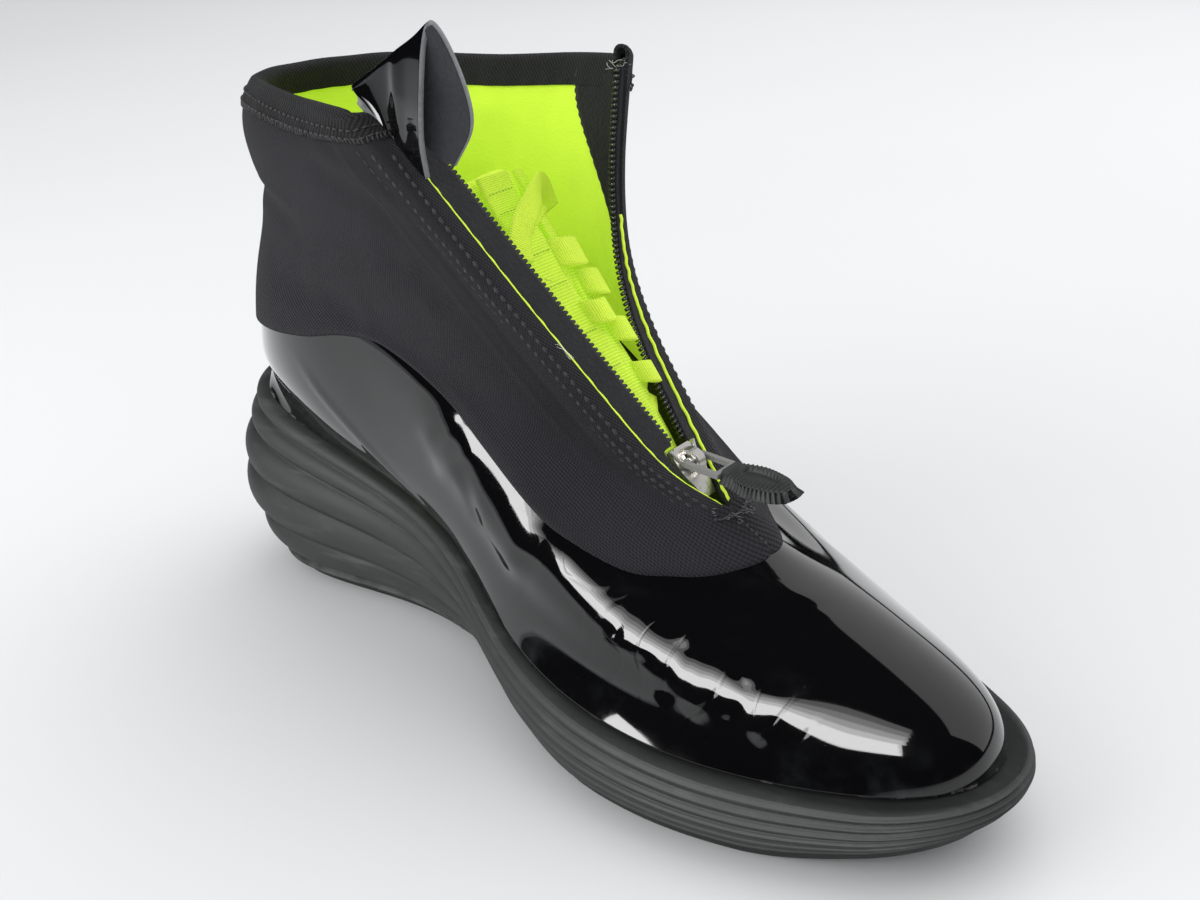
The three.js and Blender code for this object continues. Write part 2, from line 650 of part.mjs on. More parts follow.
// A frame at a place in the middle plane, sloping down towards the toe.
function slopedFrame(x, z, slope) {
  const frame = new THREE.Matrix4().makeRotationY(radians(slope));
  return frame.setPosition(x, 0, z);
}

const SLIDER_FRAME = slopedFrame(SLIDER_PLACE.at * SOLE_LENGTH, SLIDER_PLACE.height * UPPER_RISE, SLIDER_PLACE.slope);
const INTO_SLIDER = SLIDER_FRAME.clone().invert();

// True where a point beside the throat lies above the slider's end or out to one side of it.
function clearOfSlider(side, row, distance) {
  const point = besideThroat(side, row, distance).applyMatrix4(INTO_SLIDER);
  return point.x < -SLIDER_LENGTH / 2 - CLEAR || Math.abs(point.y) > SLIDER_WIDTH / 2 + CLEAR;
}

// The first row above the throat's foot where a test holds.
function throatRow(test) {
  let row = THROAT_FOOT;
  while (!test(row)) row += 0.01;
  return row;
}

const fullWidth = (side, row) => Math.min(side.width, throatHalf(row) - TEETH_WIDTH - CLEAR);
const teethFoot = (side) => throatRow((row) => throatHalf(row) > SLIDER_WIDTH
  && [0, 0.5, 1].every((share) => clearOfSlider(side, row, fullWidth(side, row) + share * (TEETH_WIDTH + GAP))));
const tapeFoot = () => throatRow((row) => throatHalf(row) > SLIDER_WIDTH / 2 + 2.5 * CLEAR);
const TAPE_TOP = TOP_ROW - 0.15;

function tapeWidth(side, row) {
  let width = fullWidth(side, row);
  while (width > 2 * CLEAR && !clearOfSlider(side, row, width)) width -= GAP / 2;
  return width;
}

function zipTape(side) {
  const pointAt = (row, share) => besideThroat(side, row, CLEAR + share * (tapeWidth(side, row) - CLEAR));
  return sheet(pointAt, steps(tapeFoot(), TAPE_TOP, 20), [0, 0.5, 1], -TAPE_THICKNESS / 2, TAPE_THICKNESS / 2);
}

// A row of teeth along a tape's free edge, notched on its free side.
function zipTeeth(side) {
  const foot = teethFoot(side);
  const length = UPPER.point(side.column, foot).distanceTo(UPPER.point(side.column, TAPE_TOP));
  const rows = steps(foot, TAPE_TOP, 2 * Math.round(length / TEETH_PITCH));
  const edgeAt = (row, share) => besideThroat(side, row, fullWidth(side, row) + GAP + share * TEETH_WIDTH);
  const level = (distance) => rows.map((row, k) => [0, 1 - (k % 2) * TEETH_NOTCH / TEETH_WIDTH].map((share) => {
    const across = edgeAt(row, 1).sub(edgeAt(row, 0));
    const along = edgeAt(row + 0.02, 0).sub(edgeAt(row, 0));
    return edgeAt(row, share).addScaledVector(along.cross(across).normalize(), distance);
  }));
  return slab(level(TEETH_THICKNESS / 2), level(-TEETH_THICKNESS / 2));
}

// A closed flat outline with a half width that follows a table along its length.
function leafShape(table, length, width, edge) {
  const places = table.map((row) => row.at);
  const halves = table.map((row) => row.half);
  const count = edge.count;
  const side = steps(0, 1, count).map((at, k) => new THREE.Vector2(
    at * length, width * smooth(places, halves, at) - (k % 2 ? edge.depth : 0)));
  const other = side.map((point) => new THREE.Vector2(point.x, -point.y)).reverse();
  return new THREE.Shape([...side, ...other]);
}

const plate = (shape, thickness) => new THREE.ExtrudeGeometry(shape, { depth: thickness, bevelEnabled: false });

const EYE_HEIGHT = BAIL_HEIGHT - BAIL_WIRE;
const PIVOT = new THREE.Vector3(-BAIL_SHIFT * SLIDER_LENGTH, 0, SLIDER_THICKNESS / 2 + EYE_HEIGHT / 2).applyMatrix4(SLIDER_FRAME);
const PULL_FRAME = slopedFrame(PIVOT.x, PIVOT.z, SLIDER_PLACE.pull);

function zipSlider() {
  const outline = leafShape(SLIDER_OUTLINE, SLIDER_LENGTH, SLIDER_WIDTH, { count: 10, depth: 0 });
  const upper = plate(outline, SLIDER_PLATE).translate(-SLIDER_LENGTH / 2, 0, SLIDER_THICKNESS / 2 - SLIDER_PLATE);
  const lower = plate(outline, SLIDER_PLATE).translate(-SLIDER_LENGTH / 2, 0, -SLIDER_THICKNESS / 2);
  const post = new THREE.BoxGeometry(SLIDER_LENGTH / 3, SLIDER_WIDTH / 4, SLIDER_THICKNESS - SLIDER_PLATE);
  post.translate(-SLIDER_LENGTH / 3, 0, 0);
  const arch = new THREE.Shape();
  arch.absellipse(0, 0, BAIL_LENGTH / 2, BAIL_HEIGHT, 0, Math.PI, false, 0);
  arch.lineTo(-BAIL_LENGTH / 2 + BAIL_WIRE, 0);
  arch.absellipse(0, 0, BAIL_LENGTH / 2 - BAIL_WIRE, EYE_HEIGHT, Math.PI, 0, true, 0);
  arch.lineTo(BAIL_LENGTH / 2, 0);
  const bail = new THREE.ExtrudeGeometry(arch, { depth: BAIL_WIDTH, bevelEnabled: false, curveSegments: 8 });
  bail.translate(0, 0, -BAIL_WIDTH / 2);
  bail.rotateX(Math.PI / 2);
  bail.translate(-BAIL_SHIFT * SLIDER_LENGTH, 0, SLIDER_THICKNESS / 2 - SLIDER_PLATE / 2);
  const rail = (side) => {
    const wall = new THREE.BoxGeometry(SLIDER_LENGTH / 2, SLIDER_PLATE, SLIDER_THICKNESS - SLIDER_PLATE);
    return wall.translate(SLIDER_LENGTH / 5, side * SLIDER_WIDTH * 0.28, 0);
  };
  const joined = [lower, post, bail, rail(1), rail(-1)]
    .reduce((whole, part) => whole.add(solid(part)), solid(upper));
  return geometryOf(joined).applyMatrix4(SLIDER_FRAME);
}

// The metal link: a flat frame whose back bar lies in the bail's eye.
function zipPull() {
  const [start, end, half] = [-LINK_WIRE / 2, LINK_LENGTH - LINK_WIRE / 2, LINK_WIDTH / 2];
  const outer = new THREE.Shape([[start, -half], [end, -half], [end, half], [start, half]]
    .map(([x, y]) => new THREE.Vector2(x, y)));
  const [inStart, inEnd, inHalf] = [start + LINK_WIRE, end - LINK_WIRE, half - LINK_WIRE];
  outer.holes.push(new THREE.Path([[inStart, -inHalf], [inStart, inHalf], [inEnd, inHalf], [inEnd, -inHalf]]
    .map(([x, y]) => new THREE.Vector2(x, y))));
  return plate(outer, LINK_WIRE).translate(0, 0, -LINK_WIRE / 2).applyMatrix4(PULL_FRAME);
}

// The ribbed rubber grip beyond the link, with a shallow lens in its face.
function pullGrip() {
  const outline = leafShape(GRIP_OUTLINE, GRIP_LENGTH, GRIP_WIDTH, { count: 2 * GRIP_RIBS, depth: GRIP_RIB_DEPTH });
  const leaf = plate(outline, GRIP_THICKNESS).translate(0, 0, -GRIP_THICKNESS / 2);
  const lens = leafShape(GRIP_OUTLINE, GRIP_LENGTH * 0.7, GRIP_WIDTH * 0.6, { count: 10, depth: 0 });
  const hollow = plate(lens, 2 * GRIP_HOLLOW).translate(GRIP_LENGTH * 0.15, 0, GRIP_THICKNESS / 2 - GRIP_HOLLOW);
  const grip = solid(leaf).subtract(solid(hollow));
  const start = LINK_LENGTH - LINK_WIRE / 2 + GAP;
  return geometryOf(grip).translate(start, 0, 0).applyMatrix4(PULL_FRAME);
}

// A folded strap that stands up beside the top of the throat, pinched behind and open in front.
function pullLoop() {
  const backSeat = UPPER.off(0.5, TOP_ROW, BINDING_PROUD);
  const frontSeat = UPPER.off(0, rowBelowCollar(0, STRAP_RISE * 0.68), BINDING_PROUD);
  const end = (key, seat) => STRAP_ROWS.map((row) => {
    const [forward, outward, upward] = row[key].map((share) => share * STRAP_RISE);
    return seat.clone().add(new THREE.Vector3(forward, -outward, upward));
  });
  const list = (points) => [mirrored(points[1], points[0]), ...points,
    mirrored(points[points.length - 2], points[points.length - 1])];
  const back = list(end('back', backSeat));
  const front = list(end('front', frontSeat));
  const pointAt = (row, share) => splinePoint(back, row).lerp(splinePoint(front, row), share);
  const half = STRAP_THICKNESS / 2;
  return sheet(pointAt, steps(0, STRAP_ROWS.length - 1, 18), steps(0, 1, 4), -half, half);
}

// A point over the tongue: a share of its length, a share of its half width and a height above its face.
const TONGUE_LINE = TONGUE_ROWS.map((row) => new THREE.Vector3(
  row.at * SOLE_LENGTH, row.half * HALF_WIDTH, row.height * UPPER_RISE));
const TONGUE_LIST = [mirrored(TONGUE_LINE[1], TONGUE_LINE[0]), ...TONGUE_LINE,
  mirrored(TONGUE_LINE[TONGUE_LINE.length - 2], TONGUE_LINE[TONGUE_LINE.length - 1])];

function tonguePoint(share, side, height) {
  const place = share * (TONGUE_LINE.length - 1);
  const line = splinePoint(TONGUE_LIST, place);
  const run = splinePoint(TONGUE_LIST, place + 0.02).sub(splinePoint(TONGUE_LIST, place - 0.02)).setY(0).normalize();
  const out = new THREE.Vector3(run.z, 0, -run.x);
  const half = line.y;
  return new THREE.Vector3(line.x, side * half, line.z).addScaledVector(out, height - TONGUE_CROWN * half * side ** 2);
}

function tongue() {
  const round = (side) => TONGUE_THICKNESS * (1 - 0.5 * side ** 4);
  const face = (depthAt) => steps(0, 1, 12).map((share) => steps(-1, 1, 6).map((side) => (
    tonguePoint(share, side, depthAt(side)))));
  return slab(face(() => 0), face((side) => -round(side)));
}

// Lace bars that run to and fro over the tongue, joined where they turn.
function laces() {
  const tongueLength = TONGUE_LINE[0].distanceTo(TONGUE_LINE[TONGUE_LINE.length - 1]);
  const half = LACE_WIDTH / 2 / tongueLength;
  const bar = (from, to, sign) => {
    const level = (height) => steps(-LACE_REACH, LACE_REACH, 6).map((side) => {
      const middle = THREE.MathUtils.mapLinear(sign * side, -LACE_REACH, LACE_REACH, from, to);
      return [-half, half].map((shift) => tonguePoint(middle + shift, side, height));
    });
    return solid(slab(level(CLEAR + LACE_THICKNESS), level(CLEAR)));
  };
  const bars = LACE_AT.slice(1).map((to, k) => bar(LACE_AT[k], to, k % 2 ? -1 : 1));
  return geometryOf(bars.slice(1).reduce((whole, part) => whole.add(part), bars[0]));
}

// A webbing strip along one side of the tongue with a tab over each turn of the lace.
function laceLoops(sign) {
  const base = CLEAR + LACE_THICKNESS + GAP;
  const [foot, top] = [LACE_AT[0] - 0.06, LACE_AT[LACE_AT.length - 1] + 0.08];
  const across = (share, from, to) => steps(from, to, 2).map((side) => [share, sign * side]);
  const band = (shares, fromAt, toAt) => {
    const level = (height) => shares.map((share) => across(share, fromAt(share), toAt(share))
      .map(([along, side]) => tonguePoint(along, side, height)));
    return solid(slab(level(base + WEBBING_THICKNESS), level(base)));
  };
  const halfAt = (share) => splinePoint(TONGUE_LIST, share * (TONGUE_LINE.length - 1)).y;
  const inner = (share) => 1 - WEBBING_WIDTH / halfAt(share);
  let whole = band(steps(foot, top, 8), (share) => Math.max(0.3, inner(share)), () => 1);
  LACE_AT.filter((unused, k) => (k % 2 ? 1 : -1) === sign).forEach((at) => {
    whole = whole.add(band([at - 0.03, at + 0.03], (share) => Math.max(0.12, inner(share) - 0.3), () => 0.9));
  });
  return geometryOf(whole);
}

const paint = (colour, roughness, metalness = 0) => new THREE.MeshStandardMaterial({ color: colour, roughness, metalness });

function piece(name, geometry, material) {
  const mesh = new THREE.Mesh(geometry, material);
  mesh.name = name;
  return mesh;
}

const group = new THREE.Group();
group.position.x = -HEEL_REST;
group.add(piece('outsole', outsole(), paint(COLOURS.rubber, 0.8)));
group.add(piece('midsole', midsole(), paint(COLOURS.rubber, 0.75)));
group.add(piece('insole', insole(), paint(COLOURS.lime, 0.9)));
group.add(piece('upper', upperShell(), paint(COLOURS.patent, 0.08)));
group.add(piece('shaft', shaft(), paint(COLOURS.neoprene, 0.9)));
group.add(piece('collar_binding', collarBinding(), paint(COLOURS.binding, 0.9)));
group.add(piece('zip_tape_medial', zipTape(INNER_SIDE), paint(COLOURS.tape, 0.9)));
group.add(piece('zip_tape_lateral', zipTape(OUTER_SIDE), paint(COLOURS.tape, 0.9)));
group.add(piece('zip_teeth_medial', zipTeeth(INNER_SIDE), paint(COLOURS.teeth, 0.5)));
group.add(piece('zip_teeth_lateral', zipTeeth(OUTER_SIDE), paint(COLOURS.teeth, 0.5)));
group.add(piece('zip_slider', zipSlider(), paint(COLOURS.metal, 0.3, 1)));
group.add(piece('zip_pull', zipPull(), paint(COLOURS.metal, 0.3, 1)));
group.add(piece('pull_grip', pullGrip(), paint(COLOURS.binding, 0.7)));
group.add(piece('pull_loop', pullLoop(), paint(COLOURS.patent, 0.1)));
group.add(piece('tongue', tongue(), paint(COLOURS.lime, 0.9)));
group.add(piece('laces', laces(), paint(COLOURS.lime, 0.8)));
group.add(piece('lace_loops_medial', laceLoops(-1), paint(COLOURS.lime, 0.85)));
group.add(piece('lace_loops_lateral', laceLoops(1), paint(COLOURS.lime, 0.85)));

export default group;
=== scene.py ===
import math
import random

import bmesh
import bpy
import numpy as np
from mathutils import Matrix, Quaternion, Vector


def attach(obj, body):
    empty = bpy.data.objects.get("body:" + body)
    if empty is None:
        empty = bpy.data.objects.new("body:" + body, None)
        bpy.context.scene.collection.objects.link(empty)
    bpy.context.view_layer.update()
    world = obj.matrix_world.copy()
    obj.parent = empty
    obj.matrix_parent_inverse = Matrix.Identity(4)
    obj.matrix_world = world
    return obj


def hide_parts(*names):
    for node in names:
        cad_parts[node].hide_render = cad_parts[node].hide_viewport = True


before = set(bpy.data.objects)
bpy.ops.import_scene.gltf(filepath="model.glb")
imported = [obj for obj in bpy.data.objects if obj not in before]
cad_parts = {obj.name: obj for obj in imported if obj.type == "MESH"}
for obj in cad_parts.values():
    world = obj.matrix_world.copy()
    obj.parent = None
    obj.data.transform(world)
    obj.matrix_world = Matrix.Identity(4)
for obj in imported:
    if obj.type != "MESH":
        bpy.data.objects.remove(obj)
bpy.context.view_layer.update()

bl_info = {
    "name": "Sneaker boot",
    "version": (1, 0, 0),
    "blender": (4, 5, 0),
    "location": "View3D > Sidebar > Boot",
    "description": "Builds the looks of a left sneaker boot with an open front zip",
    "category": "Object",
}

# Sizes in millimetres, from the heel's back forwards and from the floor upwards.
MM = 0.001
SOLE_LENGTH = 264
SOLE_WIDTH = 96
HALF_WIDTH = SOLE_WIDTH / 2
WEDGE_HEIGHT = 68
TOE_SPRING = 11
HEEL_REST = 0.227 * SOLE_LENGTH
HEEL_UNDERCUT = 2.5
SIDE_BELLY = 9.5
LOBE_DEPTH = 3.6
TREAD_THICKNESS = 3
UPPER_RISE = 94
LEDGE_WIDTH = 5
SHAFT_PROUD = 1.2
SHAFT_SEAT = 0.35
BINDING_HEIGHT = 9
BINDING_PROUD = 1.9
BINDING_WALL = 4.4
TONGUE_THICKNESS = 5
TEETH_WIDTH = 2.2
SLIDER_LENGTH = 15
SLIDER_WIDTH = 10
STRAP_RISE = 36
LINK_END = 10.55
GAP = 0.3
CLEAR = 0.8
# Shares of a sheet's rows that close the sole's ends, the tread's rim and one leaf of the binding.
CAP_SHARE = 0.06
TREAD_RIM = 0.16
FOLD_SHARE = 0.38
RIB_DEPTH = 0.16
GROOVE_PITCH = 5.25
CORNER_TIP = 3.4
TAPE_HIDDEN = 1.5

# The sole's outline, as shares of its length and half width, from the toe to the heel.
OUTLINE = {
    "at": [1.0, 0.985, 0.9, 0.72, 0.53, 0.36, 0.2, 0.055, 0.0],
    "inner": [0.0, 0.36, 0.71, 1.12, 1.02, 0.4, 0.47, 0.58, 0.0],
    "outer": [0.0, 0.33, 0.74, 1.0, 0.84, 0.75, 0.67, 0.46, 0.0],
}
TOE_SWAY = 0.11
SOLE_LINE = {
    "at": [0.0, 0.06, 0.114, 0.34, 0.44, 0.55, 0.64, 0.8, 0.9, 1.0],
    "top": [1.0, 0.925, 0.855, 0.585, 0.49, 0.4, 0.35, 0.305, 0.3, 0.35],
    "lift": [0.5, 0.12, 0.0, 0.0, 0.3, 0.15, 0.0, 0.0, 0.3, 1.0],
    "undercut": [1.0, 1.0, 1.2, 2.6, 2.8, 1.6, 1.0, 0.9, 1.2, 1.4],
    "belly": [1.0, 0.85, 0.6, 0.18, 0.08, 0.1, 0.15, 0.15, 0.15, 0.15],
    "lobe": [1.0, 0.95, 0.85, 0.5, 0.35, 0.28, 0.28, 0.28, 0.28, 0.28],
    "ledge": [0.2, 0.2, 0.22, 0.35, 0.4, 0.5, 0.7, 0.9, 1.0, 1.0],
}
# The creases of the sole's side, as shares of its height at the heel and at the forefoot.
HEEL_CREASES = [0.0, 0.1, 0.24, 0.46, 0.72, 0.95, 1.0]
FOREFOOT_CREASES = [0.0, 0.18, 0.35, 0.52, 0.68, 0.84, 1.0]
CREASE_BLEND = (0.3, 0.5)

RISE_AT = [0, 0.2, 0.45, 0.7, 0.85, 1]
WIDTH_AT = [0.055, 0.2, 0.4, 0.7, 0.9, 0.985]
WIDTH_ROUND = {"heel": 0.62, "toe": 0.45}
# Rows of the upper: back and front as shares of the sole's length, rises and widths as shares of theirs.
UPPER_ROWS = [
    {"back": -0.002, "front": 0.973, "rise": [0.05, 0.1, 0.15, 0.11, 0.1, 0.12],
     "inner": [0.63, 0.57, 0.93, 0.59], "outer": [0.64, 0.72, 0.94, 0.6]},
    {"back": -0.006, "front": 0.908, "rise": [0.1, 0.19, 0.31, 0.22, 0.19, 0.23],
     "inner": [0.71, 0.62, 0.87, 0.56], "outer": [0.66, 0.76, 0.9, 0.52]},
    {"back": 0.005, "front": 0.825, "rise": [0.14, 0.27, 0.46, 0.33, 0.29, 0.31],
     "inner": [0.74, 0.66, 0.8, 0.48], "outer": [0.68, 0.77, 0.86, 0.44]},
    {"back": 0.021, "front": 0.728, "rise": [0.18, 0.42, 0.64, 0.41, 0.31, 0.36],
     "inner": [0.75, 0.67, 0.73, 0.4], "outer": [0.69, 0.76, 0.8, 0.38]},
    {"back": 0.032, "front": 0.684, "rise": [0.34, 0.5, 0.66, 0.58, 0.5, 0.44],
     "inner": [0.74, 0.63, 0.61, 0.29], "outer": [0.66, 0.71, 0.65, 0.29]},
    {"back": 0.04, "front": 0.652, "rise": [0.47, 0.6, 0.72, 0.7, 0.61, 0.51],
     "inner": [0.68, 0.65, 0.55, 0.24], "outer": [0.66, 0.69, 0.58, 0.24],
     "edge_inner": (0.629, -0.177, 0.48), "edge_outer": (0.625, 0.187, 0.48)},
    {"back": 0.053, "front": 0.58, "rise": [0.61, 0.71, 0.79, 0.82, 0.77, 0.7],
     "inner": [0.57, 0.66, 0.51, 0.22], "outer": [0.66, 0.68, 0.54, 0.22],
     "edge_inner": (0.561, -0.302, 0.69), "edge_outer": (0.519, 0.385, 0.7)},
    {"back": 0.057, "front": 0.534, "rise": [0.75, 0.84, 0.91, 0.95, 0.93, 0.89],
     "inner": [0.58, 0.66, 0.5, 0.23], "outer": [0.66, 0.68, 0.53, 0.23],
     "edge_inner": (0.496, -0.437, 0.88), "edge_outer": (0.47, 0.5, 0.87)},
    {"back": 0.053, "front": 0.504, "rise": [0.87, 0.96, 1.04, 1.1, 1.11, 1.11],
     "inner": [0.64, 0.66, 0.5, 0.25], "outer": [0.66, 0.68, 0.54, 0.25],
     "edge_inner": (0.424, -0.552, 1.08), "edge_outer": (0.456, 0.573, 1.08)},
    {"back": 0.059, "front": 0.489, "rise": [0.97, 1.06, 1.13, 1.21, 1.24, 1.26],
     "inner": [0.62, 0.64, 0.5, 0.28], "outer": [0.66, 0.68, 0.55, 0.27],
     "edge_inner": (0.371, -0.604, 1.2), "edge_outer": (0.455, 0.615, 1.24)},
    {"back": 0.074, "front": 0.485, "rise": [1.05, 1.14, 1.23, 1.33, 1.38, 1.42],
     "inner": [0.53, 0.6, 0.49, 0.32], "outer": [0.66, 0.68, 0.57, 0.31],
     "edge_inner": (0.337, -0.604, 1.27), "edge_outer": (0.46, 0.635, 1.43)},
]
JUNCTION_LINE = {
    "column": [0, 1, 2, 2.6, 3, 3.5, 4, 4.5, 5, 5.6, 6.4, 8],
    "row": [4.1, 4.0, 3.72, 3.44, 3.52, 4.05, 4.42, 4.45, 4.2, 3.98, 4.05, 4.0],
}
EDGE_PULL = [1, 0.95, 0.75, 0.45, 0.2, 0.06, 0, 0, 0]
THROAT_FOOT = 5.05
COLUMNS = 16
TOP_ROW = 11
TAPE_TOP = TOP_ROW - 0.15

# The tongue from its foot to its top: place along the sole, rise above the floor and half width.
TONGUE_ROWS = [
    (0.61, 0.62, 0.12), (0.585, 0.78, 0.17), (0.53, 0.96, 0.22),
    (0.462, 1.16, 0.28), (0.405, 1.36, 0.34), (0.372, 1.48, 0.34),
]
TONGUE_CROWN = 0.3
LACE_AT = [0.2, 0.33, 0.46, 0.59, 0.72, 0.85]
# Lace tabs: share of the tongue's length and of its half width, reach and width in millimetres.
LACE_TABS = [(0.69, 0.3, 10.5, 8.5), (0.61, 0.65, 11.0, 8.0), (0.49, 0.7, 9.5, 7.5),
             (0.38, 0.75, 8.0, 6.5), (0.54, 0.2, 7.5, 7.0)]
# The loose lace over the tongue: share of its length and of its half width, height above its face.
LOOSE_LACE = [(0.70, -0.55, 4.6), (0.765, -0.35, 5.2), (0.81, 0.05, 6.4), (0.86, 0.5, 6.6),
              (0.9, 0.85, 5.6), (0.88, 1.1, 3.6), (0.82, 1.2, 1.5)]

# The throat's two sides: edge column, a column beside it, how far the tape turns inwards, its width and
# how much of that folds away higher up, the row where the piping ends and the length of a tooth.
INNER_SIDE = {"column": 0.0, "before": 0.15, "turn": 0.15, "width": 9.5, "folded": 0.0, "piping": 10.4,
              "tooth": 1.2}
OUTER_SIDE = {"column": 16.0, "before": 15.85, "turn": 0.5, "width": 4.5, "folded": 3.6, "piping": 8.6,
              "tooth": 1.8}
WALL_MIDDLE = -0.3
# Seams beside the throat and on the binding, in millimetres from the edge.
SEAM_INSETS = (4.6, 8.4)
PALE_SEAM_INSET = 12.4
BINDING_SEAMS = (5.2, 7.6)

SLIDER_PLACE = {"at": 0.6277, "height": 0.745, "slope": 51}
PULL_PIVOT = (0.1073, 0.0, 0.0743)
PULL_SLOPE = 2
# The slider's round bar, bridge and two wings: sizes along, across and up, and where their middles are.
SLIDER_TOP = 2.1
BRIDGE_AT = -2.4
ROUND_BAR = {"radius": 1.5, "length": 4.6, "height": 1.2}
BRIDGE = {"size": (5.4, 3.6, 1.0), "height": 0.2}
WING = {"size": (6.0, 0.9, 1.5), "at": -4.6, "side": 3.7, "height": -0.2, "turn": 22}
# The grip's length, width and thickness, then its outline from the link to the tip.
GRIP_SIZE = (18.5, 12.0, 3.4)
GRIP_OUTLINE = {"at": [0.0, 0.12, 0.45, 0.75, 0.93, 1.0], "half": [0.24, 0.34, 0.5, 0.42, 0.26, 0.1]}

# The pull loop's strap from its outer seam over the fold to its inner seam: forward, outward and upward.
STRAP_BACK = [(0.0, 0.03, 0.04), (-0.07, 0.02, 0.07), (-0.14, 0.0, 0.1), (-0.2, -0.03, 0.14),
              (-0.14, -0.06, 0.1), (-0.07, -0.05, 0.07), (0.0, -0.045, 0.04)]
STRAP_FRONT = [(-0.01, 0.06, 0.03), (0.03, 0.14, 0.3), (0.08, 0.15, 0.66), (0.13, 0.07, 1.3),
               (0.36, -0.1, 0.64), (0.3, -0.13, 0.34), (0.14, -0.1, 0.12)]

# Creases and folds of the shell: places as column and row, width and height in millimetres.
SHELL_FOLDS = [
    {"name": "vamp crease", "path": [(2.65, 3.1), (2.85, 2.4), (3.1, 1.6)], "width": 2.2, "height": -0.5},
    {"name": "vamp crease side", "path": [(2.5, 3.0), (2.68, 2.3), (2.9, 1.6)], "width": 2.8, "height": 0.32},
    {"name": "ball crease", "path": [(2.4, 2.5), (2.68, 1.7), (2.92, 0.9)], "width": 2.2, "height": -0.5},
    {"name": "ball crease side", "path": [(2.25, 2.4), (2.52, 1.65), (2.76, 0.9)],
     "width": 2.8, "height": 0.32},
    {"name": "toe crease", "path": [(2.12, 2.1), (2.36, 1.4), (2.58, 0.8)], "width": 2.2, "height": -0.42},
    {"name": "toe crease side", "path": [(1.98, 2.0), (2.22, 1.35), (2.42, 0.8)],
     "width": 2.8, "height": 0.28},
    {"name": "vamp dent", "path": [(0.7, 3.5), (1.7, 2.8), (2.3, 2.1)], "width": 7.0, "height": -0.7},
    {"name": "flank swell", "path": [(1.6, 1.5), (2.5, 1.75), (3.1, 1.85), (3.6, 1.8), (4.1, 1.8)],
     "width": 10.0, "height": 1.9},
    {"name": "outer flex", "path": [(13.2, 2.9), (13.1, 2.2), (12.9, 1.3)], "width": 2.4, "height": -0.5},
    {"name": "outer flex side", "path": [(13.6, 2.7), (13.5, 2.0), (13.3, 1.1)],
     "width": 2.6, "height": -0.4},
    {"name": "quarter seam", "path": [(5.85, 3.7), (5.62, 2.6), (5.42, 1.8), (5.15, 0.9), (4.8, 0.1)],
     "width": 1.5, "height": 0.35},
    {"name": "quarter fold", "path": [(4.05, 3.3), (4.02, 2.8), (4.1, 2.2), (4.2, 1.6)],
     "width": 3.6, "height": -0.8},
    {"name": "quarter rise", "path": [(4.35, 3.2), (4.35, 2.6), (4.4, 2.0)], "width": 4.0, "height": 0.4},
    {"name": "instep roll low", "path": [(4.15, 3.2), (4.0, 2.2), (3.7, 1.6)], "width": 7.0, "height": 1.7},
    {"name": "instep roll high", "path": [(3.95, 4.6), (3.62, 3.9), (3.25, 3.3), (2.9, 3.3)],
     "width": 6.0, "height": -1.6},
]
# Folds of the fabric shaft.
SHAFT_FOLDS = [
    {"name": "collar ridge", "path": [(4.2, 9.7), (3.1, 9.4), (2.3, 9.0), (1.9, 8.7)],
     "width": 2.8, "height": 0.8},
    {"name": "collar trough", "path": [(4.3, 9.3), (3.2, 8.9), (2.4, 8.5)], "width": 4.0, "height": -0.8},
    {"name": "heel dent", "path": [(7.6, 7.9), (6.5, 7.75), (5.6, 7.5), (5.0, 7.5)],
     "width": 4.0, "height": -1.7},
    {"name": "heel dent low", "path": [(6.3, 8.3), (5.6, 8.0), (5.1, 7.9)], "width": 2.4, "height": 0.7},
    {"name": "ankle ridge", "path": [(5.5, 5.6), (4.8, 6.5), (4.0, 7.2), (3.1, 8.0)],
     "width": 7.0, "height": 1.3},
    {"name": "ankle trough", "path": [(4.6, 5.6), (3.9, 6.3), (3.2, 7.0)], "width": 6.0, "height": -0.9},
    {"name": "ankle dent", "path": [(2.95, 7.9), (2.85, 7.3)], "width": 5.0, "height": -0.9},
    {"name": "heel hollow", "path": [(6.3, 6.0), (5.5, 5.7), (4.9, 5.6), (4.5, 5.0)],
     "width": 5.0, "height": -0.9},
    {"name": "instep ridge", "path": [(2.6, 7.1), (2.7, 6.0), (2.5, 5.2)], "width": 9.0, "height": 0.6},
    {"name": "binding dip", "path": [(5.3, 10.0), (4.3, 9.95), (2.7, 10.1)], "width": 3.0, "height": -0.6},
    {"name": "outer ankle ridge", "path": [(9.6, 7.7), (10.6, 7.2), (11.6, 7.6)],
     "width": 6.0, "height": 1.1},
    {"name": "outer ankle trough", "path": [(9.2, 7.0), (10.2, 6.4), (11.4, 6.6)],
     "width": 5.0, "height": -1.1},
    {"name": "outer instep fold", "path": [(12.6, 7.6), (13.2, 6.6), (13.8, 5.8)],
     "width": 5.0, "height": -0.8},
    {"name": "outer collar fold", "path": [(9.4, 9.5), (10.8, 9.2), (12.4, 9.4)],
     "width": 4.5, "height": -0.9},
]
FOLD_ENDS = 0.22
# Columns between which the shell's sheet is finer, and how much.
SHELL_SPANS = [0, 1.5, 4.5, COLUMNS]
SHELL_FINENESS = [1.0, 2.2, 0.8]
# Strength of the painted glow that makes the lime lining, piping, tongue and laces brighter than the lamps
# light them.
LIME_PAINTED_GLOW = 0.28

# The camera round the part: turn, height and roll in degrees, distance and target in metres.
CAMERA = {"azimuth": 40.3, "elevation": 25.8, "roll": -1.7, "distance": 0.3797, "lens": 40.0,
          "target": (0.06627, 0.0107, 0.061)}
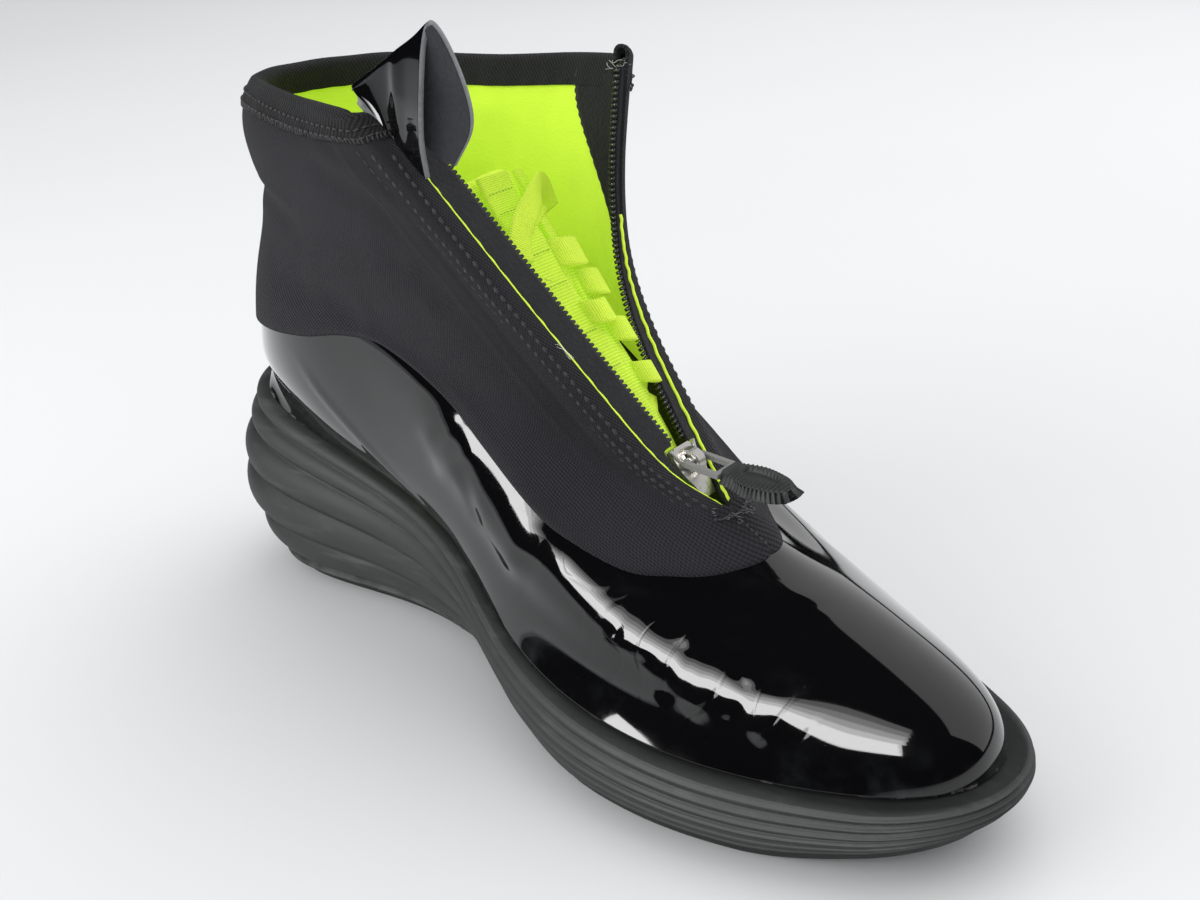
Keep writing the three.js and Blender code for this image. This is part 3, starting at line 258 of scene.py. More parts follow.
# The tall window on the inner side, in parts that grow dimmer upwards: height and extent of each
# part in degrees with its brightness, then the window's turn, roll, distance and width.
WINDOW_PARTS = ((28.0, 14.0, 14.0), (37.5, 5.0, 9.0), (42.5, 5.0, 5.6), (47.5, 5.0, 3.2), (52.5, 5.0, 1.6))
WINDOW_TURN = -80.0
WINDOW_ROLL = 9.0
WINDOW_DISTANCE = 0.75
WINDOW_WIDTH = 0.9
LIGHT_AIM = (0.07, 0.0, 0.06)


def smooth(places, values, place):
    """Smooth values of a table's column at some places, with no overshoot."""
    places = np.asarray(places, float)
    values = np.asarray(values, float)
    here = np.clip(np.asarray(place, float), places[0], places[-1])
    k = np.clip(np.searchsorted(places, here, side="left") - 1, 0, len(places) - 2)
    run = np.diff(places)
    slope = np.diff(values) / run
    tangent = np.empty(len(places))
    tangent[0] = slope[0]
    tangent[-1] = slope[-1]
    product = slope[:-1] * slope[1:]
    total = np.where(product > 0, slope[:-1] + slope[1:], 1.0)
    tangent[1:-1] = np.where(product > 0, 2 * product / total, 0.0)
    h = run[k]
    t = (here - places[k]) / h
    return ((2 * t**3 - 3 * t**2 + 1) * values[k] + (t**3 - 2 * t**2 + t) * h * tangent[k]
            + (3 * t**2 - 2 * t**3) * values[k + 1] + (t**3 - t**2) * h * tangent[k + 1])


def ease(value, low=0.0, high=1.0):
    """A smooth step from 0 to 1 between two values."""
    t = np.clip((np.asarray(value, float) - low) / (high - low), 0, 1)
    return t * t * (3 - 2 * t)


def hump(value, middle, width):
    """A soft hump of height 1 round a middle value."""
    return np.exp(-((value - middle) / width) ** 2)


def walked(points):
    """The length walked along a line of points up to each of them."""
    return np.concatenate([[0], np.cumsum(np.linalg.norm(np.diff(points, axis=0), axis=1))])


def at_length(length, runs, line):
    """The point at a length along a line."""
    return np.array([np.interp(length, runs, line[:, k]) for k in range(3)])


def sole_column(key, x):
    """A column of the sole's table at a place along the sole."""
    return smooth(SOLE_LINE["at"], SOLE_LINE[key], np.asarray(x) / SOLE_LENGTH)


def sole_top(x):
    """The height of the sole's top at a place along it."""
    return WEDGE_HEIGHT * sole_column("top", x)


def sole_lift(x):
    """How far the sole's underside stands off the floor."""
    return TOE_SPRING * sole_column("lift", x)


def toe_sway(x):
    """How far the toe bends inwards."""
    return -TOE_SWAY * HALF_WIDTH * np.maximum(0, 2 * np.asarray(x) / SOLE_LENGTH - 1)


def weights(t):
    """Weights of a uniform cubic B-spline span."""
    return ((1 - t) ** 3 / 6, (3 * t**3 - 6 * t**2 + 4) / 6,
            (-3 * t**3 + 3 * t**2 + 3 * t + 1) / 6, t**3 / 6)


def unit(vectors):
    """Vectors of length one."""
    length = np.linalg.norm(vectors, axis=-1, keepdims=True)
    return vectors / np.maximum(length, 1e-12)


def spline(points, place):
    """Points at span numbers of a B-spline through a list with its two end points added."""
    points = np.asarray(points, float)
    place = np.asarray(place, float)
    span = np.clip(np.floor(place), 0, len(points) - 4).astype(int)
    parts = weights(place - span)
    return sum(parts[k][..., None] * points[span + k] for k in range(4))


def open_list(points):
    """A list of points with a mirrored point added at each end."""
    points = np.asarray(points, float)
    return np.vstack([2 * points[0] - points[1], points, 2 * points[-1] - points[-2]])


def looped(points):
    """A closed list of points with the neighbours of its seam added."""
    return np.vstack([points[-2], points, points[1]])


def outline_controls():
    """The sole's outline from the toe along the inner side to the heel and back."""
    x = np.array(OUTLINE["at"]) * SOLE_LENGTH
    inner = np.column_stack([x, -np.array(OUTLINE["inner"]) * HALF_WIDTH + toe_sway(x), 0 * x])
    outer = np.column_stack([x, np.array(OUTLINE["outer"]) * HALF_WIDTH + toe_sway(x), 0 * x])
    return np.vstack([inner, outer[::-1][1:]])


def feather_controls():
    """The outline drawn in by the ledge, at the sole's top."""
    ring = outline_controls()[:-1]
    along = unit(np.roll(ring, -1, axis=0) - np.roll(ring, 1, axis=0))
    inward = np.column_stack([along[:, 1], -along[:, 0], 0 * along[:, 0]])
    moved = ring + inward * (LEDGE_WIDTH * sole_column("ledge", ring[:, 0]))[:, None]
    moved[:, 2] = sole_top(moved[:, 0]) + GAP
    return np.vstack([moved, moved[:1]])


def row_controls(row):
    """Control points of one row of the upper."""
    at = np.array(OUTLINE["at"])
    x = (row["back"] + (row["front"] - row["back"]) * at) * SOLE_LENGTH
    z = sole_top(x) + UPPER_RISE * smooth(RISE_AT, row["rise"], at)

    def widths(shares):
        heel, waist, ball, toe = [share * HALF_WIDTH for share in shares]
        table = [heel * WIDTH_ROUND["heel"], heel, waist, ball, toe, toe * WIDTH_ROUND["toe"]]
        return np.where((at == 0) | (at == 1), 0.0, smooth(WIDTH_AT, table, at))

    inner = np.column_stack([x, -widths(row["inner"]) + toe_sway(x), z])
    outer = np.column_stack([x, widths(row["outer"]) + toe_sway(x), z])
    points = np.vstack([inner, outer[::-1][1:]])
    if "edge_inner" not in row:
        return looped(points)

    def edge(place):
        along, across, rise = place
        return np.array([along * SOLE_LENGTH, across * HALF_WIDTH,
                         float(sole_top(along * SOLE_LENGTH)) + rise * UPPER_RISE])

    inner_move = edge(row["edge_inner"]) - points[0]
    outer_move = edge(row["edge_outer"]) - points[-1]
    for k, pull in enumerate(EDGE_PULL):
        points[k] += inner_move * pull
        if k < len(EDGE_PULL) - 1:
            points[-1 - k] += outer_move * pull
    return open_list(points)


class Skin:
    """The upper's surface: columns run from the front round the inner side, rows run up."""

    def __init__(self):
        rows = [looped(feather_controls()), *[row_controls(row) for row in UPPER_ROWS]]
        rows = [2 * rows[0] - rows[1], *rows, 2 * rows[-1] - rows[-2]]
        self.grid = np.array(rows)

    def point(self, column, row):
        """Points at column and row places."""
        column, row = np.broadcast_arrays(np.asarray(column, float), np.asarray(row, float))
        across = np.clip(np.floor(column), 0, COLUMNS - 1).astype(int)
        up = np.clip(np.floor(row), 0, TOP_ROW - 1).astype(int)
        wide = weights(column - across)
        high = weights(row - up)
        return sum((high[i] * wide[j])[..., None] * self.grid[up + i, across + j]
                   for i in range(4) for j in range(4))

    def normal(self, column, row, step=0.02):
        """Outward normals at column and row places."""
        column, row = np.broadcast_arrays(np.asarray(column, float), np.asarray(row, float))
        across = (self.point(np.minimum(column + step, COLUMNS), row)
                  - self.point(np.maximum(column - step, 0), row))
        up = (self.point(column, np.minimum(row + step, TOP_ROW))
              - self.point(column, np.maximum(row - step, 0)))
        return unit(np.cross(up, across))

    def off(self, column, row, distance):
        """Points held off the surface."""
        distance = np.asarray(distance, float)
        return self.point(column, row) + self.normal(column, row) * distance[..., None]


SKIN = Skin()


def junction_row(column):
    """The row place where the shell ends at each column."""
    place = np.minimum(column, COLUMNS - np.asarray(column))
    return smooth(JUNCTION_LINE["column"], JUNCTION_LINE["row"], place)


def row_below_collar(column, height):
    """The row place that lies some way below the collar's edge at each column."""
    column = np.asarray(column, float)
    edge = SKIN.point(column, TOP_ROW)
    low = np.full(column.shape, THROAT_FOOT)
    high = np.full(column.shape, float(TOP_ROW))
    for _ in range(16):
        middle = (low + high) / 2
        far = np.linalg.norm(SKIN.point(column, middle) - edge, axis=-1) > height
        low = np.where(far, middle, low)
        high = np.where(far, high, middle)
    return low


def from_path(points, path):
    """Distance of points from a path, and the share along it of the nearest place."""
    starts = walked(path)
    best = np.full(len(points), 1e9)
    share = np.zeros(len(points))
    for k, run in enumerate(np.diff(starts)):
        along = path[k + 1] - path[k]
        t = np.clip((points - path[k]) @ along / run**2, 0, 1)
        distance = np.linalg.norm(points - path[k] - t[:, None] * along, axis=1)
        nearer = distance < best
        best = np.where(nearer, distance, best)
        share = np.where(nearer, (starts[k] + t * run) / starts[-1], share)
    return best, share


def skin_path(places, count=10):
    """A smooth path on the upper through column and row places."""
    shares = np.linspace(0, len(places) - 1, count)
    at = np.arange(len(places))
    column = smooth(at, [place[0] for place in places], shares)
    row = smooth(at, [place[1] for place in places], shares)
    return SKIN.point(column, row)


def folds(points, table):
    """How far the listed ridges and troughs move each point outwards."""
    moved = np.zeros(len(points))
    for fold in table:
        distance, share = from_path(points, skin_path(fold["path"]))
        fade = ease(share, 0, FOLD_ENDS) * ease(1 - share, 0, FOLD_ENDS)
        moved += fold["height"] * fade * hump(distance, 0, fold["width"])
    return moved


def throat_edge(column):
    """Points along one edge of the throat, upwards."""
    return SKIN.point(float(column), np.linspace(THROAT_FOOT, TOP_ROW, 60))


def sewn(points, column, row, distance=None):
    """Draws the two front ends of the lower rows together on their middle line."""
    held = np.zeros(len(points)) if distance is None else distance
    ends = [SKIN.off(np.full(len(points), float(end)), row, held) for end in (0, COLUMNS)]
    middle = (ends[0] + ends[1]) / 2
    shut = 1 - ease(row, THROAT_FOOT, THROAT_FOOT + 0.12)
    near_inner = (1 - ease(column, 0, 1)) * shut
    near_outer = (1 - ease(COLUMNS - column, 0, 1)) * shut
    return points + (middle - ends[0]) * near_inner[:, None] + (middle - ends[1]) * near_outer[:, None]


def to_frame(points):
    """Millimetres from the heel's back to metres in the shared frame."""
    return (np.asarray(points, float) - np.array([HEEL_REST, 0, 0])) * MM


class Value:
    """A shader value that is added and multiplied like a number."""

    def __init__(self, surface, socket):
        self.surface = surface
        self.socket = socket

    def maths(self, operation, *others):
        """A Math node on this value and others."""
        node = self.surface.nodes.new("ShaderNodeMath")
        node.operation = operation
        for index, other in enumerate((self, *others)):
            self.surface.feed(node.inputs[index], other)
        return Value(self.surface, node.outputs[0])

    def __add__(self, other):
        return self.maths("ADD", other)

    def __sub__(self, other):
        return self.maths("SUBTRACT", other)

    def __mul__(self, other):
        return self.maths("MULTIPLY", other)

    def __truediv__(self, other):
        return self.maths("DIVIDE", other)

    def __neg__(self):
        return self.maths("MULTIPLY", -1.0)

    def __radd__(self, other):
        return self + other

    def __rsub__(self, other):
        return (-self) + other

    def __rmul__(self, other):
        return self * other

    def sine(self):
        """The sine of this value."""
        return self.maths("SINE")

    def between(self, low, high, start=0.0, end=1.0):
        """This value mapped smoothly from one range to another."""
        return self.surface.node("ShaderNodeMapRange", {"interpolation_type": "SMOOTHSTEP"}, {
            "Value": self, "From Min": low, "From Max": high, "To Min": start, "To Max": end})


class Surface:
    """A material with one Principled shader."""

    def __init__(self, name, **constants):
        self.material = bpy.data.materials.new(name)
        self.material.use_nodes = True
        tree = self.material.node_tree
        self.nodes = tree.nodes
        self.links = tree.links
        self.shader = tree.nodes["Principled BSDF"]
        self.set(**constants)

    def feed(self, socket, value):
        """Links or sets one socket."""
        if isinstance(value, Value):
            self.links.new(value.socket, socket)
        elif isinstance(value, tuple) and len(value) == 3 and socket.type == "RGBA":
            socket.default_value = (*value, 1.0)
        else:
            socket.default_value = value

    def set(self, **values):
        """Sets inputs of the shader, named with underscores for spaces."""
        for key, value in values.items():
            self.feed(self.shader.inputs[key.replace("_", " ")], value)

    def node(self, kind, settings=None, inputs=None, output=0):
        """A node of a kind with its settings and inputs."""
        node = self.nodes.new(kind)
        for key, value in (settings or {}).items():
            setattr(node, key, value)
        for key, value in (inputs or {}).items():
            self.feed(node.inputs[key], value)
        return Value(self, node.outputs[output])

    def place(self):
        """The place in the piece's own coordinates."""
        return self.node("ShaderNodeTexCoord", output="Object")

    def layer(self, name):
        """Both values of one of the piece's own UV maps."""
        uv = self.node("ShaderNodeUVMap", {"uv_map": name})
        split = self.nodes.new("ShaderNodeSeparateXYZ")
        self.feed(split.inputs[0], uv)
        return Value(self, split.outputs[0]), Value(self, split.outputs[1])

    def noise(self, size, detail=3.0, stretch=None, rough=0.55):
        """Noise from 0 to 1 with features of a size in metres."""
        vector = self.place()
        if stretch:
            vector = self.node("ShaderNodeMapping", None, {"Vector": vector, "Scale": stretch})
        return self.node("ShaderNodeTexNoise", None, {
            "Vector": vector, "Scale": 1 / size, "Detail": detail, "Roughness": rough}, output="Fac")

    def mix(self, share, first, second):
        """A colour between two colours."""
        node = self.nodes.new("ShaderNodeMix")
        node.data_type = "RGBA"
        self.feed(node.inputs["Factor"], share)
        colours = [socket for socket in node.inputs if socket.type == "RGBA"]
        self.feed(colours[0], first)
        self.feed(colours[1], second)
        return Value(self, next(socket for socket in node.outputs if socket.type == "RGBA"))

    def glow(self, colour, strength):
        """Painted glow: emission that makes a colour brighter than the lamps light it, standing in for a
        fluorescent dye's brightness.
        """
        self.set(Emission_Color=colour, Emission_Strength=strength)

    def bump(self, height, depth, strength=1.0):
        """Bumps of a depth in metres."""
        self.set(Normal=self.node("ShaderNodeBump", None, {
            "Height": height, "Distance": depth, "Strength": strength}, output="Normal"))


def shade(colour, factor):
    """A colour made lighter or darker."""
    return tuple(min(1.0, part * factor) for part in colour)


def patent(name, colour, worn=False):
    """Black patent with a deep gloss, faint ripples and dust; worn adds glue, haze and crinkles."""
    surface = Surface(name, Coat_Weight=0.85, Coat_Roughness=0.04, Coat_IOR=1.45, IOR=1.5,
                      Specular_IOR_Level=0.25)
    smear = surface.noise(0.018, 4.0, stretch=(1.0, 1.0, 2.2)).between(0.56, 0.82)
    dust = surface.noise(0.0011, 2.0).between(0.68, 0.8)
    base = surface.mix(smear * 0.3 + dust * 0.25, colour, shade(colour, 4))
    rough = smear * 0.12 + dust * 0.2 + 0.07
    height = surface.noise(0.02, 1.0)
    if worn:
        above_sole, _ = surface.layer("height")
        low = 1.0 - above_sole.between(0.2, 1.6)
        smudge = low * surface.noise(0.004, 4.0).between(0.5, 0.66)
        base = surface.mix(smudge * 0.6, base, (0.3, 0.3, 0.28))
        rough = rough + smudge * 0.4
        haze = (1.0 - above_sole.between(1.0, 14.0)) * surface.noise(0.012, 5.0).between(0.45, 0.75)
        base = surface.mix(haze * 0.2, base, (0.09, 0.1, 0.1))
        crinkled, _ = surface.layer("crinkle")
        field = surface.noise(0.013, 0.0, stretch=(1.6, 0.8, 0.8))
        line = field.between(0.45, 0.5) - field.between(0.5, 0.55)
        height = height - line * crinkled * 0.3
    surface.set(Base_Color=base, Roughness=rough)
    surface.bump(height, 0.0003)
    return surface.material


def twill(name, colour, pitch, fuzz=0.25):
    """Woven fabric with fine slanting ribs, a little lint and soft mottling."""
    surface = Surface(name, Sheen_Weight=0.06, Sheen_Roughness=0.5, Specular_IOR_Level=0.2)
    across, up = surface.layer("cloth")
    turn = 2 * math.pi / pitch
    wander = surface.noise(0.006, 2.0) * 1.2
    rib = ((across - up * 0.75) * turn + wander).sine() * 0.5 + 0.5
    yarn = ((across * 0.9 + up) * (turn * 1.35)).sine() * 0.5 + 0.5
    weave = rib * 0.65 + yarn * 0.35
    mottle = surface.noise(0.02, 4.0)
    lint = surface.noise(0.0006, 2.0).between(0.7, 0.8) * fuzz
    tone = weave * 0.55 + mottle * 0.35
    base = surface.mix(tone.between(0.12, 0.78), shade(colour, 0.35), shade(colour, 1.75))
    base = surface.mix(lint, base, shade(colour, 4))
    surface.set(Base_Color=base, Roughness=0.86 + mottle * 0.1)
    surface.bump(weave + surface.noise(0.0009, 3.0) * 0.4, 0.0004, 0.9)
    return surface.material


def lining(name, colour):
    """Brushed lining with small pills and a painted glow."""
    surface = Surface(name, Sheen_Weight=0.1, Sheen_Roughness=0.6, Specular_IOR_Level=0.2)
    mottle = surface.noise(0.012, 4.0)
    pills = surface.noise(0.0009, 3.0)
    base = surface.mix(mottle * 0.6 + pills * 0.25, shade(colour, 0.82), shade(colour, 1.12))
    surface.set(Base_Color=base, Roughness=0.9 + pills * 0.08)
    # Painted glow: the lining gives off light of its own colour.
    surface.glow(base, LIME_PAINTED_GLOW)
    surface.bump(pills + surface.noise(0.0004, 2.0), 0.00025, 0.6)
    return surface.material


def webbing(name, colour, pitch=0.9, wear=0.3, glow=0.0):
    """Narrow woven tape with ribs across it, and a painted glow of its own colour when glow is above zero."""
    surface = Surface(name, Sheen_Weight=0.05, Specular_IOR_Level=0.3)
    across, along = surface.layer("cloth")
    turn = 2 * math.pi / pitch
    rib = (along * turn).sine() * 0.5 + 0.5
    yarn = (across * (turn * 1.6)).sine() * 0.5 + 0.5
    weave = rib * 0.7 + yarn * 0.3
    mottle = surface.noise(0.006, 4.0)
    base = surface.mix(weave * 0.6 + mottle * 0.4, shade(colour, 0.66), shade(colour, 1.15))
    base = surface.mix(surface.noise(0.001, 3.0).between(0.62, 0.8) * wear, base, shade(colour, 0.45))
    surface.set(Base_Color=base, Roughness=0.72 + mottle * 0.2)
    # Painted glow of the tape's own colour, when glow is above zero.
    surface.glow(base, glow)
    surface.bump(weave + surface.noise(0.0006, 2.0) * 0.4, 0.0003, 0.9)
    return surface.material


def rubber(name, colour, ribs=False):
    """Dusty moulded rubber, paler where it is rubbed; with ribs, paler ridges, partly dust and partly a
    painted highlight, and painted shade in the creases.
    """
    surface = Surface(name, Specular_IOR_Level=0.4)
    broad = surface.noise(0.03, 5.0)
    fine = surface.noise(0.0016, 3.0)
    scuff = surface.noise(0.009, 5.0, stretch=(0.35, 1.0, 2.4)).between(0.52, 0.74)
    tone = broad * 0.5 + fine * 0.15
    base = surface.mix(tone, shade(colour, 0.55), shade(colour, 1.5))
    base = surface.mix(scuff * 0.55, base, shade(colour, 2.8))
    rough = 0.5 + broad * 0.25
    if ribs:
        bulge, share = surface.layer("rib")
        # The ribs' ridges are painted paler: partly dust, partly a painted highlight.
        ridge = bulge.between(0.45, 1.0)
        base = surface.mix(ridge * 0.32, base, shade(colour, 2.1))
        # Painted shade: the creases between the ribs are darkened.
        base = surface.mix((1.0 - bulge.between(0.0, 0.22)) * 0.75, base, shade(colour, 0.2))
        grime = share.between(0.86, 1.0) * surface.noise(0.006, 4.0).between(0.35, 0.65)
        base = surface.mix(grime * 0.4, base, (0.16, 0.155, 0.14))
    surface.set(Base_Color=base, Roughness=rough)
    surface.bump(fine + surface.noise(0.0005, 2.0) * 0.6, 0.00012, 0.7)
    return surface.material


def suede(name, colour):
    """Short brushed nap."""
    surface = Surface(name, Sheen_Weight=0.12, Sheen_Roughness=0.45, Specular_IOR_Level=0.1, Roughness=0.95)
    nap = surface.noise(0.0011, 4.0, rough=0.7)
    patch = surface.noise(0.008, 3.0)
    surface.set(Base_Color=surface.mix(nap * 0.6 + patch * 0.4, shade(colour, 0.5), shade(colour, 2.0)))
    surface.bump(nap, 0.0005)
    return surface.material


def metal(name, colour, roughness, bite=0.2, metallic=0.9):
    """Plated metal with worn, slightly brushed faces."""
    surface = Surface(name, Metallic=metallic)
    brushed = surface.noise(0.0009, 4.0, stretch=(1.0, 0.2, 1.0))
    spots = surface.noise(0.0022, 3.0).between(0.56, 0.74)
    surface.set(Base_Color=surface.mix(spots * 0.55, colour, shade(colour, 0.35)),
                Roughness=roughness + brushed * bite + spots * 0.2)
    surface.bump(brushed, 0.00006)
    return surface.material


def plastic(name, colour, roughness=0.4):
    """Plain moulded plastic."""
    surface = Surface(name, Specular_IOR_Level=0.5)
    cloud = surface.noise(0.003, 3.0)
    surface.set(Base_Color=surface.mix(cloud, shade(colour, 0.7), shade(colour, 1.4)),
                Roughness=roughness + cloud * 0.15)
    surface.bump(surface.noise(0.0006, 2.0), 0.00005)
    return surface.material


def thread(name, colour):
    """Twisted sewing thread."""
    surface = Surface(name, Sheen_Weight=0.2, Roughness=0.75)
    twist = surface.noise(0.0004, 2.0)
    surface.set(Base_Color=surface.mix(twist, shade(colour, 0.6), shade(colour, 1.3)))
    surface.bump(twist, 0.0001)
    return surface.material


def linked(name, data):
    """A new object in the scene."""
    obj = bpy.data.objects.new(name, data)
    bpy.context.scene.collection.objects.link(obj)
    return obj


def sheet_object(name, columns, rows, place, flip=False, sewn_up=False, fill=False):
    """A grid whose points and UV maps come from a function of two shares."""
    bm = bmesh.new()
    bmesh.ops.create_grid(bm, x_segments=columns, y_segments=rows, size=0.5)
    mesh = bpy.data.meshes.new(name)
    bm.to_mesh(mesh)
    bm.free()
    flat = np.empty(len(mesh.vertices) * 3)
    mesh.vertices.foreach_get("co", flat)
    shares = np.clip(flat.reshape(-1, 3)[:, :2] + 0.5, 0, 1)
    points, layers = place(shares[:, 0], shares[:, 1])
    mesh.vertices.foreach_set("co", to_frame(points).ravel())
    corner = np.empty(len(mesh.loops), dtype=np.int32)
    mesh.loops.foreach_get("vertex_index", corner)
    for key, (first, second) in layers.items():
        layer = mesh.uv_layers.new(name=key)
        both = np.column_stack([np.broadcast_to(first, len(points)), np.broadcast_to(second, len(points))])
        layer.data.foreach_set("uv", both[corner].astype(np.float32).ravel())
    bm = bmesh.new()
    bm.from_mesh(mesh)
    if sewn_up:
        bmesh.ops.remove_doubles(bm, verts=bm.verts, dist=0.00002)
        bmesh.ops.dissolve_degenerate(bm, edges=bm.edges, dist=0.000001)
    if fill:
        rim = [edge for edge in bm.edges if edge.is_boundary]
        bmesh.ops.holes_fill(bm, edges=rim, sides=0)
        bmesh.ops.recalc_face_normals(bm, faces=bm.faces)
    elif flip:
        bmesh.ops.reverse_faces(bm, faces=bm.faces)
    for face in bm.faces:
        face.smooth = True
    bm.to_mesh(mesh)
    bm.free()
    return linked(name, mesh)


def mesh_object(name, bm):
    """An object from a bmesh in metres."""
    mesh = bpy.data.meshes.new(name)
    for face in bm.faces:
        face.smooth = True
    bm.to_mesh(mesh)
    bm.free()
    return linked(name, mesh)


def finish_piece(obj, materials, body="boot", replaces=()):
    """Gives a piece its materials and body, and hides the CAD nodes that it stands for."""
    for material in materials:
        obj.data.materials.append(material)
    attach(obj, body)
    if replaces:
        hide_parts(*replaces)
    return obj


def dressed_node(name, material):
    """A CAD node with its only material."""
    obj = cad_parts[name]
    obj.data.materials.clear()
    obj.data.materials.append(material)
    return obj


def thicken(obj, thickness, inner=0, rim=0):
    """Adds a wall behind a sheet, with its own materials inside and on its rim."""
    wall = obj.modifiers.new("Wall", "SOLIDIFY")
    wall.thickness = thickness * MM
    wall.offset = -1
    wall.use_even_offset = False
    wall.material_offset = inner
    wall.material_offset_rim = rim


def round_edges(obj, width, segments, sharpest):
    """Rounds the edges that are sharper than an angle in degrees."""
    bevel = obj.modifiers.new("Bevel", "BEVEL")
    bevel.width = width * MM
    bevel.segments = segments
    bevel.limit_method = "ANGLE"
    bevel.angle_limit = math.radians(sharpest)


def frame_at(origin, along, up):
    """A matrix with x along a run and z near a direction, its origin in metres."""
    x = Vector(along).normalized()
    z = Vector(up)
    z = (z - x * z.dot(x)).normalized()
    y = z.cross(x)
    matrix = Matrix((x, y, z)).transposed().to_4x4()
    matrix.translation = Vector(origin)
    return matrix


def stitches(name, path, normals, pitch, length, width, material, lift=0.1):
    """A run of short threads along a path in millimetres."""
    starts = walked(path)
    bm = bmesh.new()
    place = pitch / 2
    while place < starts[-1]:
        k = min(np.searchsorted(starts, place) - 1, len(path) - 2)
        t = (place - starts[k]) / (starts[k + 1] - starts[k])
        along = path[k + 1] - path[k]
        up = normals[k] + (normals[k + 1] - normals[k]) * t
        matrix = frame_at(to_frame(path[k] + along * t + up * lift), along, up)
        size = Matrix.Diagonal((length / 2 * MM, width / 2 * MM, width / 2 * MM, 1))
        bmesh.ops.create_uvsphere(bm, u_segments=6, v_segments=4, radius=1, matrix=matrix @ size)
        place += pitch
    return finish_piece(mesh_object(name, bm), [material])


def thread_curve(name, points, radius, material):
    """A thin loose thread through points in metres."""
    curve = bpy.data.curves.new(name, "CURVE")
    curve.dimensions = "3D"
    curve.bevel_depth = radius * MM
    curve.bevel_resolution = 1
    curve.resolution_u = 4
    line = curve.splines.new("BEZIER")
    line.bezier_points.add(len(points) - 1)
    for knot, point in zip(line.bezier_points, points):
        knot.co = point
        knot.handle_left_type = "AUTO"
        knot.handle_right_type = "AUTO"
    return finish_piece(linked(name, curve), [material])


def piping(name, path, radius, material):
    """A round cord sewn along an edge, from a path in millimetres."""
    bm = bmesh.new()
    rings = []
    for k, point in enumerate(path):
        before = path[max(k - 1, 0)]
        after = path[min(k + 1, len(path) - 1)]
        matrix = frame_at(to_frame(point), after - before, (0, 0.3, 1))
        turn = Matrix.Rotation(math.pi / 2, 4, "Y")
        made = bmesh.ops.create_circle(bm, segments=8, radius=radius * MM, matrix=matrix @ turn)
        rings.append(made["verts"])
    edges = [[edge for vert in ring for edge in vert.link_edges] for ring in rings]
    for first, second in zip(edges, edges[1:]):
        bmesh.ops.bridge_loops(bm, edges=list({*first, *second}))
    bmesh.ops.holes_fill(bm, edges=[edge for edge in bm.edges if edge.is_boundary], sides=0)
    bmesh.ops.recalc_face_normals(bm, faces=bm.faces)
    return finish_piece(mesh_object(name, bm), [material])


def palette():
    """The boot's colours."""
    return bpy.context.scene.boot_colours


def sizes():
    """The sizes of the boot's details."""
    return bpy.context.scene.boot_sizes


class BootSizes(bpy.types.PropertyGroup):
    """Sizes of the boot's details."""

    shell_wall: bpy.props.FloatProperty(
        name="Shell wall", description="Thickness of the patent shell in millimetres", default=2.0, min=0.5)
    fabric_wall: bpy.props.FloatProperty(
        name="Fabric wall", description="Thickness of the fabric shaft in millimetres", default=3.0, min=1.0)
    tooth_pitch: bpy.props.FloatProperty(
        name="Tooth pitch", description="Distance between zip teeth in millimetres", default=1.5, min=0.8)
    stitch_pitch: bpy.props.FloatProperty(
        name="Stitch pitch", description="Distance between stitches in millimetres", default=2.7, min=1.0)
    twill_pitch: bpy.props.FloatProperty(
        name="Twill pitch", description="Distance between fabric ribs in millimetres", default=1.1, min=0.3)


class BootColours(bpy.types.PropertyGroup):
    """Colours of the boot's materials."""

    patent: bpy.props.FloatVectorProperty(
        name="Patent", description="Colour of the shell", subtype="COLOR", default=(0.0035, 0.0035, 0.004))
    fabric: bpy.props.FloatVectorProperty(
        name="Fabric", description="Colour of the shaft", subtype="COLOR", default=(0.0175, 0.016, 0.0205))
    binding: bpy.props.FloatVectorProperty(
        name="Binding", description="Colour of binding and zip tape", subtype="COLOR",
        default=(0.013, 0.013, 0.0145))
    lime: bpy.props.FloatVectorProperty(
        name="Lime", description="Colour of lining, tongue and laces", subtype="COLOR",
        default=(0.66, 0.95, 0.05))
    rubber: bpy.props.FloatVectorProperty(
        name="Rubber", description="Colour of the sole", subtype="COLOR", default=(0.031, 0.0355, 0.0335))
    metal: bpy.props.FloatVectorProperty(
        name="Metal", description="Colour of the zip slider", subtype="COLOR", default=(0.78, 0.76, 0.72))


